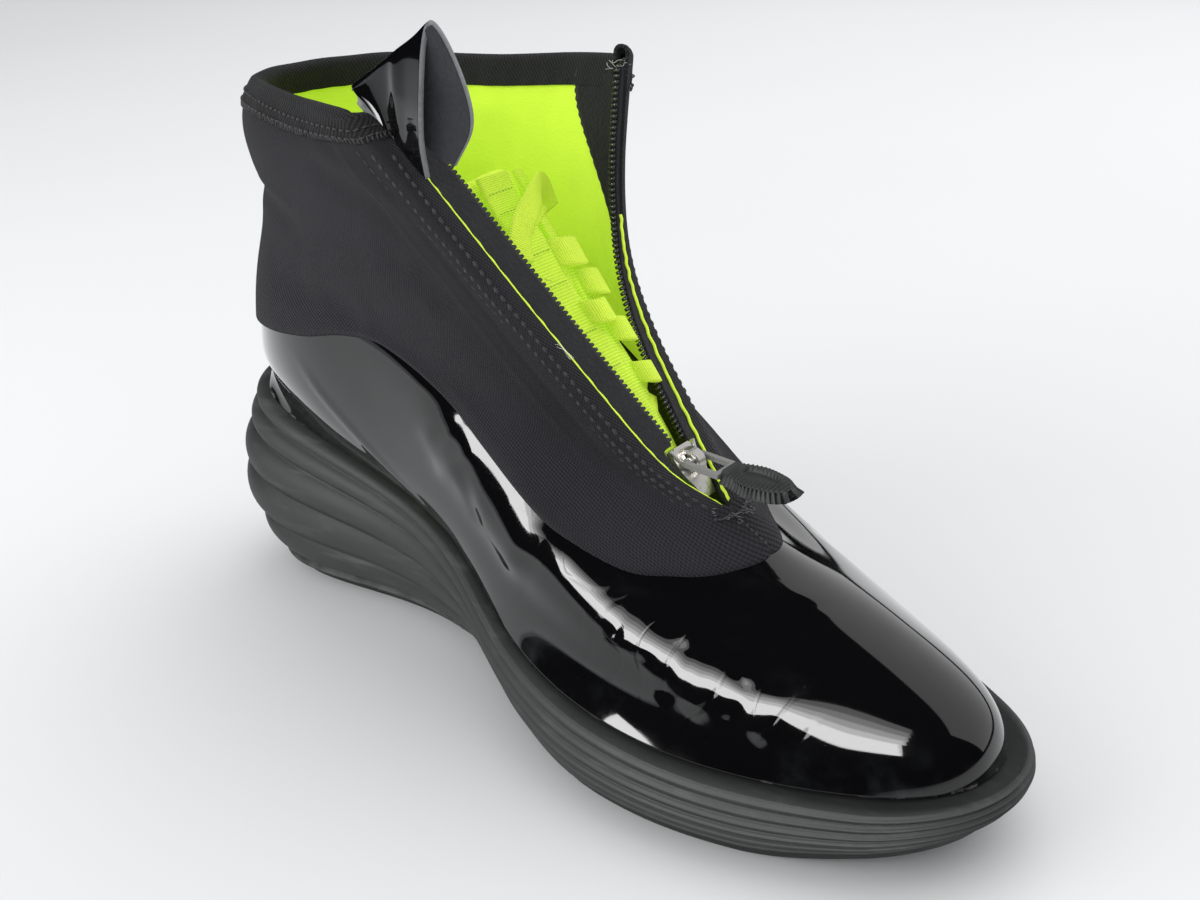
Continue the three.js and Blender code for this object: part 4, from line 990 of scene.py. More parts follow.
class MakeSole(bpy.types.Operator):
    """Build the ribbed midsole and give the tread and footbed their materials"""

    bl_idname = "boot.sole"
    bl_label = "Sole"

    def execute(self, context):
        colours = palette()
        outline = looped(outline_controls())
        bottom_gap = TREAD_THICKNESS + GAP

        def outline_at(around):
            """Points of the outline and their directions inwards."""
            step = 0.02
            along = unit(spline(outline, (around * COLUMNS + step) % COLUMNS)
                         - spline(outline, (around * COLUMNS - step) % COLUMNS))
            inward = np.column_stack([along[:, 1], -along[:, 0], 0 * along[:, 0]])
            return spline(outline, around * COLUMNS), inward

        def closed(points, cap):
            """Draws points in to the sole's middle line."""
            middle = toe_sway(points[:, 0]) + 0.04 * HALF_WIDTH
            points[:, 1] = points[:, 1] * (1 - cap) + middle * cap

        def place(around, down):
            points, inward = outline_at(around)
            share = np.clip((down - CAP_SHARE) / (1 - 2 * CAP_SHARE), 0, 1)
            x = points[:, 0]
            blend = ease(x / SOLE_LENGTH, *CREASE_BLEND)
            creases = np.array(HEEL_CREASES)[None, :] * (1 - blend)[:, None]
            creases = creases + np.array(FOREFOOT_CREASES)[None, :] * blend[:, None]
            k = np.clip((share[:, None] >= creases).sum(axis=1) - 1, 0, len(HEEL_CREASES) - 2)
            low = np.take_along_axis(creases, k[:, None], 1)[:, 0]
            high = np.take_along_axis(creases, k[:, None] + 1, 1)[:, 0]
            bulge = np.sin(np.pi * np.clip((share - low) / (high - low), 0, 1)) ** 0.6
            depth = (HEEL_UNDERCUT * sole_column("undercut", x) * share**3
                     - SIDE_BELLY * sole_column("belly", x) * np.sin(np.pi * share**1.15)
                     - LOBE_DEPTH * (sole_column("lobe", x) + 0.05) * (bulge - 0.35))
            rib = np.cos(4 * np.pi * (share - low) / (high - low))
            depth = depth - RIB_DEPTH * blend * rib
            points = points + inward * depth[:, None]
            x = points[:, 0]
            top = sole_top(x)
            points[:, 2] = top + (sole_lift(x) + bottom_gap - top) * share
            top_cap = 1 - down / CAP_SHARE
            closed(points, np.where(down < CAP_SHARE, top_cap, np.clip((down - 1) / CAP_SHARE + 1, 0, 1)))
            return points, {"rib": (bulge, share)}

        sole = sheet_object("sole_midsole", 320, 110, place, sewn_up=True, fill=True)
        # The side's rubber is painted paler on its ridges, partly as highlight, and darker in its creases as
        # painted shade.
        finish_piece(sole, [rubber("midsole rubber", colours.rubber, ribs=True)],
                     replaces=["midsole"])

        def tread_place(around, down):
            points, inward = outline_at(around)
            x = points[:, 0]
            rim = np.clip(down / TREAD_RIM, 0, 1)
            under = np.clip((down - TREAD_RIM) / (1 - TREAD_RIM), 0, 1)
            depth = HEEL_UNDERCUT * sole_column("undercut", x) + 0.7 + 0.9 * rim**2
            points = points + inward * depth[:, None]
            x = points[:, 0]
            groove = ease(np.abs((x % GROOVE_PITCH) - 2.6), 1.4, 1.9) * ease(under, 0.1, 0.16)
            lift = sole_lift(x) + 1.3 * groove * (0.5 + 0.5 * (np.abs(points[:, 1]) > 3))
            points[:, 2] = (sole_lift(x) + bottom_gap - 0.1) * (1 - rim) + lift * rim
            closed(points, under)
            return points, {"rib": (rim, under)}

        tread = sheet_object("sole_tread", 300, 60, tread_place, sewn_up=True, fill=True)
        finish_piece(tread, [rubber("tread rubber", shade(colours.rubber, 0.8))],
                     replaces=["outsole"])
        dressed_node("insole", suede("footbed fabric", shade(colours.lime, 0.5)))
        return {"FINISHED"}


class MakeShell(bpy.types.Operator):
    """Build the creased patent shell"""

    bl_idname = "boot.shell"
    bl_label = "Patent shell"

    def execute(self, context):
        colours = palette()

        def place(around, up):
            column = np.interp(around, shares, SHELL_SPANS)
            row = up * junction_row(column)
            points = sewn(SKIN.point(column, row), column, row)
            moved = folds(points, SHELL_FOLDS) * ease(row, 0, 0.5)
            points = points + SKIN.normal(column, row) * moved[:, None]
            height = points[:, 2] - sole_top(points[:, 0])
            crinkled = (ease(column, 1.7, 2.2) * (1 - ease(column, 3.1, 3.5))
                        * ease(row, 0.6, 1.2) * (1 - ease(row, 3.0, 3.6)))
            return points, {"height": (height, row), "crinkle": (crinkled, column)}

        steps = np.diff(SHELL_SPANS) * np.array(SHELL_FINENESS)
        shares = np.concatenate([[0], np.cumsum(steps)]) / steps.sum()
        shell = sheet_object("shell_patent", 400, 90, place, flip=True, sewn_up=True)
        inside = suede("shell backing", (0.05, 0.05, 0.05))
        finish_piece(shell, [patent("patent", tuple(colours.patent), worn=True), inside],
                     replaces=["upper"])
        thicken(shell, sizes().shell_wall, inner=1)
        return {"FINISHED"}


class MakeShaft(bpy.types.Operator):
    """Build the stretch-fabric shaft with its lining and folds"""

    bl_idname = "boot.shaft"
    bl_label = "Fabric shaft"

    def execute(self, context):
        colours = palette()
        inner_edge = throat_edge(0)
        outer_edge = throat_edge(COLUMNS)
        grain_columns = np.linspace(0, COLUMNS, 200)
        grain = walked(SKIN.point(grain_columns, 7.0))

        def place(around, up):
            column = around * COLUMNS
            foot = junction_row(column) - 0.05
            head = row_below_collar(column, 1.5)
            row = foot + (head - foot) * up
            edge_round = 1 - (1 - np.clip(up / 0.03, 0, 1)) ** 2
            proud = SHAFT_SEAT + SHAFT_PROUD * edge_round
            points = sewn(SKIN.off(column, row, proud), column, row, proud)
            near_inner, _ = from_path(points, inner_edge)
            near_outer, _ = from_path(points, outer_edge)
            from_edge = np.minimum(near_inner, near_outer)
            moved = folds(points, SHAFT_FOLDS)
            moved += folds(points, SHELL_FOLDS[-2:]) * (1 - ease(row - foot, 0.1, 0.8))
            for inset in SEAM_INSETS:
                moved -= 0.22 * hump(from_edge, inset, 0.8)
            moved += 0.12 * hump(from_edge, PALE_SEAM_INSET, 0.6) - 0.15 * ease(from_edge, 12.0, 14)
            moved = moved * ease(from_edge, 0, 3)
            points = points + SKIN.normal(column, row) * moved[:, None]
            along = np.interp(column, grain_columns, grain)
            return points, {"cloth": (along, points[:, 2])}

        shaft = sheet_object("shaft_fabric", 360, 110, place, flip=True, sewn_up=True)
        cloth = twill("shaft twill", tuple(colours.fabric), sizes().twill_pitch)
        inside = lining("lime lining", tuple(colours.lime))
        rim = suede("cut edge", tuple(colours.binding))
        finish_piece(shaft, [cloth, inside, rim], replaces=["shaft"])
        thicken(shaft, sizes().fabric_wall, inner=1, rim=2)
        return {"FINISHED"}


class MakeBinding(bpy.types.Operator):
    """Build the folded binding round the collar"""

    bl_idname = "boot.binding"
    bl_label = "Collar binding"

    def execute(self, context):
        colours = palette()
        half = BINDING_WALL / 2
        middle = BINDING_PROUD - half
        grain_columns = np.linspace(0, COLUMNS, 200)
        grain = walked(SKIN.point(grain_columns, 10.8))

        def place(around, over):
            column = around * COLUMNS
            turn = np.clip((over - FOLD_SHARE) / (1 - 2 * FOLD_SHARE), 0, 1) * np.pi
            side = np.cos(turn)
            lower = np.clip(1 - np.minimum(over, 1 - over) / FOLD_SHARE, 0, 1)
            drop = half + lower * (BINDING_HEIGHT - half)
            row = row_below_collar(column, np.maximum(drop - half * np.sin(turn), 0.05))
            wave = np.interp(column, grain_columns, grain)
            bumpy = 0.25 * np.sin(wave * 0.9) * lower + 0.2 * np.sin(wave * 0.37 + 1.3)
            flare = 0.5 * hump(lower, 0.8, 0.15)
            points = SKIN.off(column, row, middle + side * (half + flare * 0.3) + bumpy * 0.6)
            points[:, 2] += CORNER_TIP * hump(wave, grain[-1], 5)
            cloth = drop + half * turn
            return points, {"cloth": (wave, cloth)}

        strip = sheet_object("collar_binding_knit", 340, 30, place, flip=True)
        knit = twill("binding knit", tuple(colours.binding), 1.1, fuzz=0.5)
        finish_piece(strip, [knit], replaces=["collar_binding"])
        thicken(strip, 0.9)
        black = thread("binding thread", shade(colours.binding, 0.8))
        columns = np.linspace(0.15, COLUMNS - 0.15, 150)
        for index, height in enumerate(BINDING_SEAMS):
            rows = row_below_collar(columns, height)
            path = SKIN.off(columns, rows, BINDING_PROUD + 0.25)
            stitches(f"binding_stitch_{index + 1}", path, SKIN.normal(columns, rows), 2.4, 1.9, 0.55,
                     black)
        lower = row_below_collar(columns, BINDING_HEIGHT + 0.2)
        upper = row_below_collar(columns, BINDING_HEIGHT - 1.8)
        low_points = SKIN.off(columns, lower, SHAFT_PROUD + 0.7)
        high_points = SKIN.off(columns, upper, BINDING_PROUD + 0.3)
        runs = walked(low_points)
        bm = bmesh.new()
        rng = random.Random(7)
        for place_at in np.arange(1.0, runs[-1], 1.25):
            low = at_length(place_at, runs, low_points)
            high = at_length(place_at + rng.uniform(-0.5, 0.5), runs, high_points)
            matrix = frame_at(to_frame((low + high) / 2), high - low, np.cross(high - low, (0.3, 0.2, 1.0)))
            size = Matrix.Diagonal((rng.uniform(1.0, 1.5) * MM, 0.24 * MM, 0.24 * MM, 1))
            bmesh.ops.create_uvsphere(bm, u_segments=5, v_segments=3, radius=1, matrix=matrix @ size)
        overlock = thread("overlock thread", shade(colours.binding, 1.6))
        finish_piece(mesh_object("binding_overlock", bm), [overlock])
        return {"FINISHED"}


def beside_throat(side, row, distance):
    """Points on a zip tape at row places and distances from the throat's edge."""
    row = np.asarray(row, float)
    distance = np.broadcast_to(np.asarray(distance, float), row.shape)
    held = np.full(row.shape, WALL_MIDDLE)
    edge = SKIN.off(np.full(row.shape, side["column"]), row, held)
    other = SKIN.off(np.full(row.shape, COLUMNS - side["column"]), row, held)
    along = unit(edge - SKIN.off(np.full(row.shape, side["before"]), row, held))
    across = unit(other - edge)
    run = unit(along * (1 - side["turn"]) + across * side["turn"])
    return edge + run * distance[..., None]


def column_beside(side_column, rows, inset):
    """Columns that lie some way from an edge of the throat at row places."""
    rows = np.asarray(rows, float)
    start = np.full(rows.shape, float(side_column))
    columns = start.copy()
    sign = 1.0 if side_column == 0 else -1.0
    edge = SKIN.point(start, rows)
    for _ in range(14):
        gone = np.linalg.norm(SKIN.point(columns, rows) - edge, axis=-1)
        columns = np.clip(columns + sign * np.clip((inset - gone) / 30, -0.2, 0.2), 0, COLUMNS)
    return columns


def throat_half(row):
    """Half the throat's width at row places."""
    row = np.asarray(row, float)
    left = SKIN.point(np.zeros(row.shape), row)
    right = SKIN.point(np.full(row.shape, float(COLUMNS)), row)
    return np.linalg.norm(left - right, axis=-1) / 2


def full_width(side, row):
    """A tape's width at row places; the outer tape folds out of sight higher up."""
    shown = side["width"] - side["folded"] * ease(row, 6.6, 8.8)
    return np.minimum(shown, throat_half(row) - TEETH_WIDTH - CLEAR)


def slider_matrix():
    """The slider's frame in metres: x down its slope, z out of its face."""
    x = (SLIDER_PLACE["at"] * SOLE_LENGTH - HEEL_REST) * MM
    z = SLIDER_PLACE["height"] * UPPER_RISE * MM
    return Matrix.Translation((x, 0, z)) @ Matrix.Rotation(math.radians(SLIDER_PLACE["slope"]), 4, "Y")


def clear_of_slider(point):
    """True where a point in millimetres lies above the slider or out to its side."""
    local = slider_matrix().inverted() @ Vector(to_frame(point))
    return local.x / MM < -SLIDER_LENGTH / 2 - CLEAR or abs(local.y) / MM > SLIDER_WIDTH / 2 + CLEAR


def teeth_foot(side):
    """The lowest row place where the teeth clear the slider."""
    row = THROAT_FOOT
    while row < TAPE_TOP:
        places = np.array([row])
        width = full_width(side, places)
        shares = [0, 0.5, 1]
        points = [beside_throat(side, places, width + share * (TEETH_WIDTH + GAP))[0] for share in shares]
        if throat_half(places)[0] > SLIDER_WIDTH and all(clear_of_slider(point) for point in points):
            return row
        row += 0.02
    raise RuntimeError("the zip's teeth find no place clear of the slider")


def tape_width(side, row):
    """The width of a tape at one row place, narrowed beside the slider."""
    places = np.array([row])
    width = float(full_width(side, places)[0])
    while width > 2 * CLEAR and not clear_of_slider(beside_throat(side, places, width)[0]):
        width -= GAP / 2
    return width


class MakeZip(bpy.types.Operator):
    """Build the zip tapes, their teeth and the lime piping"""

    bl_idname = "boot.zip"
    bl_label = "Zip tapes and teeth"

    def execute(self, context):
        colours = palette()
        lime = tuple(colours.lime)
        tape_cloth = suede("zip tape weave", shade(colours.binding, 1.75))
        tooth_plastic = plastic("zip tooth plastic", (0.03, 0.03, 0.032), 0.1)
        # The lime piping carries a painted glow.
        lime_cord = webbing("lime piping", lime, 0.8, glow=LIME_PAINTED_GLOW)
        foot = THROAT_FOOT
        while throat_half(np.array([foot]))[0] < SLIDER_WIDTH / 2 + 2.5 * CLEAR:
            foot += 0.01
        for key, side in (("medial", INNER_SIDE), ("lateral", OUTER_SIDE)):
            stations = np.linspace(foot, TAPE_TOP, 120)
            widths = np.array([tape_width(side, row) for row in stations])
            start = teeth_foot(side)

            def place(across, up, side=side, stations=stations, widths=widths):
                row = foot + (TAPE_TOP - foot) * up
                width = np.interp(row, stations, widths)
                points = beside_throat(side, row, across * (width + TAPE_HIDDEN) - TAPE_HIDDEN)
                points[:, 1] += 0.12 * np.sin(points[:, 2] * 0.55) * across
                return points, {"cloth": (across * 12, points[:, 2] * 1.1)}

            tape = sheet_object(f"zip_tape_{key}_weave", 14, 160, place, flip=key == "medial")
            finish_piece(tape, [tape_cloth], replaces=[f"zip_tape_{key}"])
            thicken(tape, 1.0)
            rows = np.linspace(start, TAPE_TOP, 240)
            line = beside_throat(side, rows, full_width(side, rows) + 0.55)
            inner_line = beside_throat(side, rows, full_width(side, rows) - 1.0)
            runs = walked(line)
            bm = bmesh.new()
            pitch = sizes().tooth_pitch
            for at in np.arange(pitch / 2, runs[-1], pitch):
                point = at_length(at, runs, line)
                across = point - at_length(at, runs, inner_line)
                up = np.cross(at_length(at + 1, runs, line) - point, across)
                matrix = frame_at(to_frame(point), across, up)
                shape = Matrix.Diagonal((side["tooth"] * MM, 0.85 * MM, 1.3 * MM, 1))
                bmesh.ops.create_cube(bm, size=1, matrix=matrix @ shape)
                head = matrix @ Matrix.Translation((0.55 * MM, 0, 0))
                bulb = Matrix.Diagonal((0.6 * MM, 0.55 * MM, 0.8 * MM, 1))
                bmesh.ops.create_uvsphere(bm, u_segments=6, v_segments=4, radius=1, matrix=head @ bulb)
            finish_piece(mesh_object(f"zip_teeth_{key}_row", bm), [tooth_plastic],
                         replaces=[f"zip_teeth_{key}"])
            edge_rows = np.linspace(THROAT_FOOT + 0.1, side["piping"], 110)
            edge_line = SKIN.off(side["column"], edge_rows, SHAFT_PROUD - 0.1)
            toward = unit(beside_throat(side, edge_rows, 1.0) - beside_throat(side, edge_rows, 0.0))
            wobble = 0.12 * np.column_stack([np.sin(edge_rows * 37), np.sin(edge_rows * 29), 0 * edge_rows])
            piping(f"lime_piping_{key}", edge_line + toward * 0.3 + wobble, 0.44, lime_cord)
        inside = SHAFT_PROUD - sizes().fabric_wall
        facing_rows = np.linspace(THROAT_FOOT + 0.2, TOP_ROW - 0.35, 60)
        # The dark strip is wide at the top, narrow in the middle and wide again low down, where it darkens the
        # inside of the throat.
        facing_width = (13 * (1 - ease(facing_rows, 6.2, 7.8)) + 3.5 + 20 * ease(facing_rows, 7.6, 10.6))
        far_columns = column_beside(COLUMNS, facing_rows, facing_width)
        near_columns = column_beside(COLUMNS, facing_rows, 0.6)

        def facing_place(across, up):
            row = facing_rows[0] + (facing_rows[-1] - facing_rows[0]) * up
            near = np.interp(row, facing_rows, near_columns)
            far = np.interp(row, facing_rows, far_columns)
            ragged = 0.02 * np.sin(row * 41) * across * (row > 7.5)
            points = SKIN.off(near + (far - near) * across + ragged, row, inside - 0.15)
            return points, {"cloth": (across * 14, points[:, 2])}

        facing = sheet_object("throat_facing", 20, 110, facing_place)
        finish_piece(facing, [suede("facing fabric", shade(colours.binding, 1.3))])
        thicken(facing, 0.5)
        black = thread("seam thread", shade(colours.binding, 0.5))
        inside_rows = np.linspace(7.8, TOP_ROW - 0.4, 50)
        inside_columns = column_beside(COLUMNS, inside_rows, 3.2)
        inside_path = SKIN.off(inside_columns, inside_rows, inside - 0.8)
        stitches("facing_stitch", inside_path, -SKIN.normal(inside_columns, inside_rows), 2.4, 1.8, 0.7,
                 black)
        pale = thread("fine seam thread", shade(colours.binding, 2.6))
        for name, side_column, lift in (("medial", 0, 0.2), ("lateral", COLUMNS, -0.05)):
            rows = np.linspace(THROAT_FOOT + 0.05, 10.0, 80)
            for index, inset in enumerate((*SEAM_INSETS, PALE_SEAM_INSET)):
                weight, colour = (1.0, black) if inset in SEAM_INSETS else (0.22, pale)
                columns = column_beside(side_column, rows, inset)
                path = SKIN.off(columns, rows, SHAFT_PROUD + lift)
                stitches(f"throat_stitch_{name}_{index + 1}", path, SKIN.normal(columns, rows),
                         sizes().stitch_pitch, sizes().stitch_pitch * 0.74, weight, colour)
        return {"FINISHED"}


class MakeSlider(bpy.types.Operator):
    """Finish the slider and its link, and build the ribbed grip"""

    bl_idname = "boot.slider"
    bl_label = "Zip slider and pull"

    def execute(self, context):
        colours = palette()
        plated = metal("plated metal", shade(colours.metal, 0.6), 0.2)
        dull = metal("dull metal", (0.26, 0.26, 0.255), 0.45, metallic=0.35)
        for node, material, radius in (("zip_slider", plated, 0.3), ("zip_pull", dull, 0.35)):
            obj = dressed_node(node, material)
            weld = obj.modifiers.new("Weld", "WELD")
            weld.merge_threshold = 0.00001
            round_edges(obj, radius, 3, 35)
        bm = bmesh.new()

        def on_slider(along, across, height):
            return slider_matrix() @ Matrix.Translation(Vector((along, across, SLIDER_TOP + height)) * MM)

        def block(matrix, size):
            bmesh.ops.create_cube(bm, size=1, matrix=matrix @ Matrix.Diagonal((*(Vector(size) * MM), 1)))

        bar = on_slider(BRIDGE_AT, 0, ROUND_BAR["height"]) @ Matrix.Rotation(math.pi / 2, 4, "X")
        bar_radius = ROUND_BAR["radius"] * MM
        bmesh.ops.create_cone(bm, cap_ends=True, segments=24, radius1=bar_radius, radius2=bar_radius,
                              depth=ROUND_BAR["length"] * MM, matrix=bar)
        block(on_slider(BRIDGE_AT, 0, BRIDGE["height"]), BRIDGE["size"])
        for sign in (1, -1):
            wing = on_slider(WING["at"], sign * WING["side"], WING["height"])
            block(wing @ Matrix.Rotation(math.radians(-WING["turn"] * sign), 4, "Z"), WING["size"])
        edges = [edge for edge in bm.edges if edge.calc_face_angle(0) > 0.6]
        bmesh.ops.bevel(bm, geom=edges, offset=0.22 * MM, segments=2, profile=0.5, affect="EDGES", material=-1)
        finish_piece(mesh_object("slider_saddle", bm), [plated])

        pull = Matrix.Translation(PULL_PIVOT) @ Matrix.Rotation(math.radians(PULL_SLOPE), 4, "Y")
        length, width, thickness = GRIP_SIZE

        def place(along, across):
            half = width * smooth(GRIP_OUTLINE["at"], GRIP_OUTLINE["half"], along)
            notch = 0.22 * np.abs(np.sin(along * np.pi * 18)) * ease(along, 0.05, 0.2)
            side = across * 2 - 1
            flat_edge = np.sign(side) * (1 - (1 - np.abs(side)) ** 1.15)
            y = flat_edge * (half - notch)
            dome = 0.9 * (1 - side**2) * ease(along, 0, 0.25) * (1 - 0.4 * along)
            lens_x = (along - 0.52) / 0.3
            lens_y = y / (width * 0.24)
            inside = 1 - ease(lens_x**2 + lens_y**2, 0.75, 1.0)
            ribs = 0.3 * np.sin(along * np.pi * 2 * 17 + np.abs(side) * 2.5) * ease(along, 0.04, 0.1)
            rim = 0.35 * hump(np.sqrt(lens_x**2 + lens_y**2), 1.0, 0.16)
            lift = dome + ribs * (1 - inside) * (1 - ease(np.abs(side), 0.9, 1)) - 1.0 * inside + rim
            collar = 0.5 * (1 - ease(along, 0.0, 0.05))
            local = np.column_stack([LINK_END + along * length, y, thickness / 2 + lift + collar - 0.4])
            turned = np.array([pull @ Vector(point * MM) for point in local])
            return turned / MM + np.array([HEEL_REST, 0, 0]), {"cloth": (along * 20, across * 12)}

        grip = sheet_object("pull_grip_ribbed", 120, 44, place)
        grip_rubber = rubber("grip rubber", shade(colours.rubber, 0.9))
        finish_piece(grip, [grip_rubber], body="pull", replaces=["pull_grip"])
        thicken(grip, thickness - 0.4)
        round_edges(grip, 0.3, 2, 60)
        return {"FINISHED"}


class MakeLoop(bpy.types.Operator):
    """Build the folded patent pull loop"""

    bl_idname = "boot.loop"
    bl_label = "Pull loop"

    def execute(self, context):
        colours = palette()
        back_seat = SKIN.off(0.5, float(TOP_ROW), BINDING_PROUD)
        front_row = float(row_below_collar(np.array([0.0]), STRAP_RISE * 0.68)[0])
        front_seat = SKIN.off(0.0, front_row, BINDING_PROUD)

        def end(table, seat):
            moves = np.array(table) * STRAP_RISE * np.array([1, -1, 1])
            return open_list(seat + moves)

        back = end(STRAP_BACK, back_seat)
        front = end(STRAP_FRONT, front_seat)
        last = len(STRAP_BACK) - 1

        def place(across, over):
            low = spline(back, over * last)
            high = spline(front, over * last)
            points = low + (high - low) * across[:, None]
            outer = 1 - ease(over, 0.35, 0.6)
            sag = np.sin(np.pi * across) * np.sin(np.pi * np.clip(over * 2, 0, 1))
            points[:, 1] += 1.2 * sag * outer
            points[:, 1] -= 0.8 * hump(across, 0.62, 0.09) * outer * np.sin(np.pi * over)
            points[:, 2] += 0.7 * np.sin(over * 14 + 1.0) * hump(across, 1, 0.12)
            return points, {"cloth": (across * 36, over * 70)}

        strap = sheet_object("pull_loop_strap", 60, 90, place)
        gloss = patent("strap patent", tuple(colours.patent))
        nap = suede("strap backing", (0.035, 0.036, 0.04))
        cut = suede("strap cut edge", (0.2, 0.205, 0.21))
        finish_piece(strap, [gloss, nap, cut], replaces=["pull_loop"])
        thicken(strap, 1.5, inner=1, rim=2)
        return {"FINISHED"}


def tongue_point(share, side, height):
    """Points over the tongue: shares of its length and half width, and height above its face."""
    share, side, height = np.broadcast_arrays(*[np.asarray(v, float) for v in (share, side, height)])
    lines = [(at * SOLE_LENGTH, half * HALF_WIDTH, rise * UPPER_RISE) for at, rise, half in TONGUE_ROWS]
    line = open_list(lines)
    last = len(TONGUE_ROWS) - 1
    middle = spline(line, share * last)
    run = spline(line, share * last + 0.02) - spline(line, share * last - 0.02)
    run[..., 1] = 0
    run = unit(run)
    out = np.stack([run[..., 2], 0 * run[..., 1], -run[..., 0]], axis=-1)
    half = middle[..., 1]
    points = middle.copy()
    points[..., 1] = side * half
    return points + out * (height - TONGUE_CROWN * half * side**2)[..., None]


class MakeTongue(bpy.types.Operator):
    """Build the padded lime tongue"""

    bl_idname = "boot.tongue"
    bl_label = "Tongue"

    def execute(self, context):
        colours = palette()

        def place(around, up):
            angle = around * 2 * np.pi
            end = 1 - np.clip((up - 0.96) / 0.04, 0, 1) ** 2 * 0.9
            end = end * (1 - np.clip((0.03 - up) / 0.03, 0, 1) ** 2 * 0.9)
            side = np.sign(np.cos(angle)) * np.abs(np.cos(angle)) ** 0.6
            round_off = TONGUE_THICKNESS / 2 * np.sign(np.sin(angle)) * np.abs(np.sin(angle)) ** 0.8
            channels = 0.5 * np.abs(np.sin(up * np.pi * 7)) ** 0.5 * (np.sin(angle) > 0)
            height = -TONGUE_THICKNESS / 2 + round_off * end + channels * end
            reach = np.where(side > 0, 0.42 + 0.56 * ease(up, 0.5, 0.75), 0.98)
            flap = 2.5 * ease(up, 0.78, 0.95) * np.sin(side * 4 + 0.6)
            points = tongue_point(up, side * reach, height + flap)
            return points, {"cloth": (around * 60, up * 120)}

        tongue = sheet_object("tongue_padded", 72, 120, place, sewn_up=True, fill=True)
        # The tongue's knit carries a painted glow.
        knit = webbing("tongue knit", tuple(colours.lime), 1.1, glow=LIME_PAINTED_GLOW)
        finish_piece(tongue, [knit], replaces=["tongue"])
        return {"FINISHED"}


def ribbon(name, middle, across, width, material, thickness=1.0, replaces=(), count=60):
    """A flat woven ribbon along points in millimetres, each with its own direction across."""
    middle = open_list(middle)
    across = open_list(across)
    last = len(middle) - 3

    def place(side, along):
        points = spline(middle, along * last)
        sideways = unit(spline(across, along * last))
        points = points + sideways * ((side - 0.5) * width)[:, None]
        length = np.linalg.norm(np.diff(middle, axis=0), axis=1).sum()
        return points, {"cloth": (side * width, along * length)}

    piece = sheet_object(name, 8, count, place)
    finish_piece(piece, [material], replaces=replaces)
    thicken(piece, thickness)


class MakeLaces(bpy.types.Operator):
    """Build the lace bars, webbing strips and their loops"""

    bl_idname = "boot.laces"
    bl_label = "Laces and loops"

    def execute(self, context):
        colours = palette()
        lime = tuple(colours.lime)
        # The laces and webbing strips carry a painted glow.
        lace_cloth = webbing("lace weave", lime, 0.8, glow=LIME_PAINTED_GLOW)
        strip_cloth = webbing("strip weave", shade(lime, 0.92), 0.9, glow=LIME_PAINTED_GLOW)
        side_steps = np.linspace(-0.82, 0.82, 7)
        for k, (start, end) in enumerate(zip(LACE_AT, LACE_AT[1:])):
            sides = side_steps if k % 2 == 0 else -side_steps
            shares = np.linspace(start, end, 7)
            middle = tongue_point(shares, sides, 1.6 + 0.5 * np.cos(sides * 2))
            run = np.gradient(middle, axis=0)
            out = tongue_point(shares, sides, 2.6) - tongue_point(shares, sides, 1.6)
            ribbon(f"lace_bar_{k + 1}", middle, np.cross(out, run), 7.0, lace_cloth,
                   replaces=["laces"] if k == 0 else ())
        for key, sign in (("medial", -1), ("lateral", 1)):
            shares = np.linspace(0.12, 0.97, 12)
            sides = np.full(12, -0.12 if sign < 0 else 0.62)
            wander = 0.5 * np.sin(np.arange(12) * 1.9 + sign)
            middle = tongue_point(shares, sides + 0.02 * wander, 3.2 + wander)
            over = tongue_point(shares, sides + 0.1, 3.2) - tongue_point(shares, sides - 0.1, 3.2)
            ribbon(f"webbing_strip_{key}", middle, over, 10.5 if sign < 0 else 5.0, strip_cloth,
                   replaces=[f"lace_loops_{key}"], count=120)
        for k, (share, side, reach, width) in enumerate(LACE_TABS):
            turn = np.linspace(0, np.pi, 8)
            half = float(spline(open_list([(0, r[2] * HALF_WIDTH, 0) for r in TONGUE_ROWS]), share * 5)[1])
            sides = side + (reach / half) * (np.sin(turn * 0.5) ** 2)
            heights = 3.8 + 3.6 * np.sin(turn)
            shares = share - 0.02 * np.sin(turn)
            middle = tongue_point(shares, sides, heights)
            over = (tongue_point(shares + 0.02, sides, heights) - tongue_point(shares - 0.02, sides, heights))
            ribbon(f"lace_tab_{k + 1}", middle, over, width, lace_cloth)
        points = np.array([tongue_point(*place) for place in LOOSE_LACE])
        twist = np.linspace(0.1, 1.2, len(LOOSE_LACE))
        run = unit(np.gradient(points, axis=0))
        out = np.array([tongue_point(s, d, h + 1) - tongue_point(s, d, h) for s, d, h in LOOSE_LACE])
        flat = unit(np.cross(out, run))
        over = flat * np.cos(twist)[:, None] + unit(out) * np.sin(twist)[:, None]
        ribbon("lace_ribbon", points, over, 8.0, lace_cloth, thickness=0.8, count=80)
        dark = thread("tack thread", shade(lime, 0.6))
        for k, share in enumerate((0.27, 0.41, 0.5, 0.62, 0.7, 0.83, 0.9)):
            sides = np.linspace(-0.4, 0.16, 8)
            path = tongue_point(np.full(8, share), sides, np.full(8, 4.0))
            out = tongue_point(np.full(8, share), sides, np.full(8, 5.0)) - path
            stitches(f"tack_{k + 1}", path, out, 1.1, 0.9, 0.4, dark, lift=0.0)
        return {"FINISHED"}


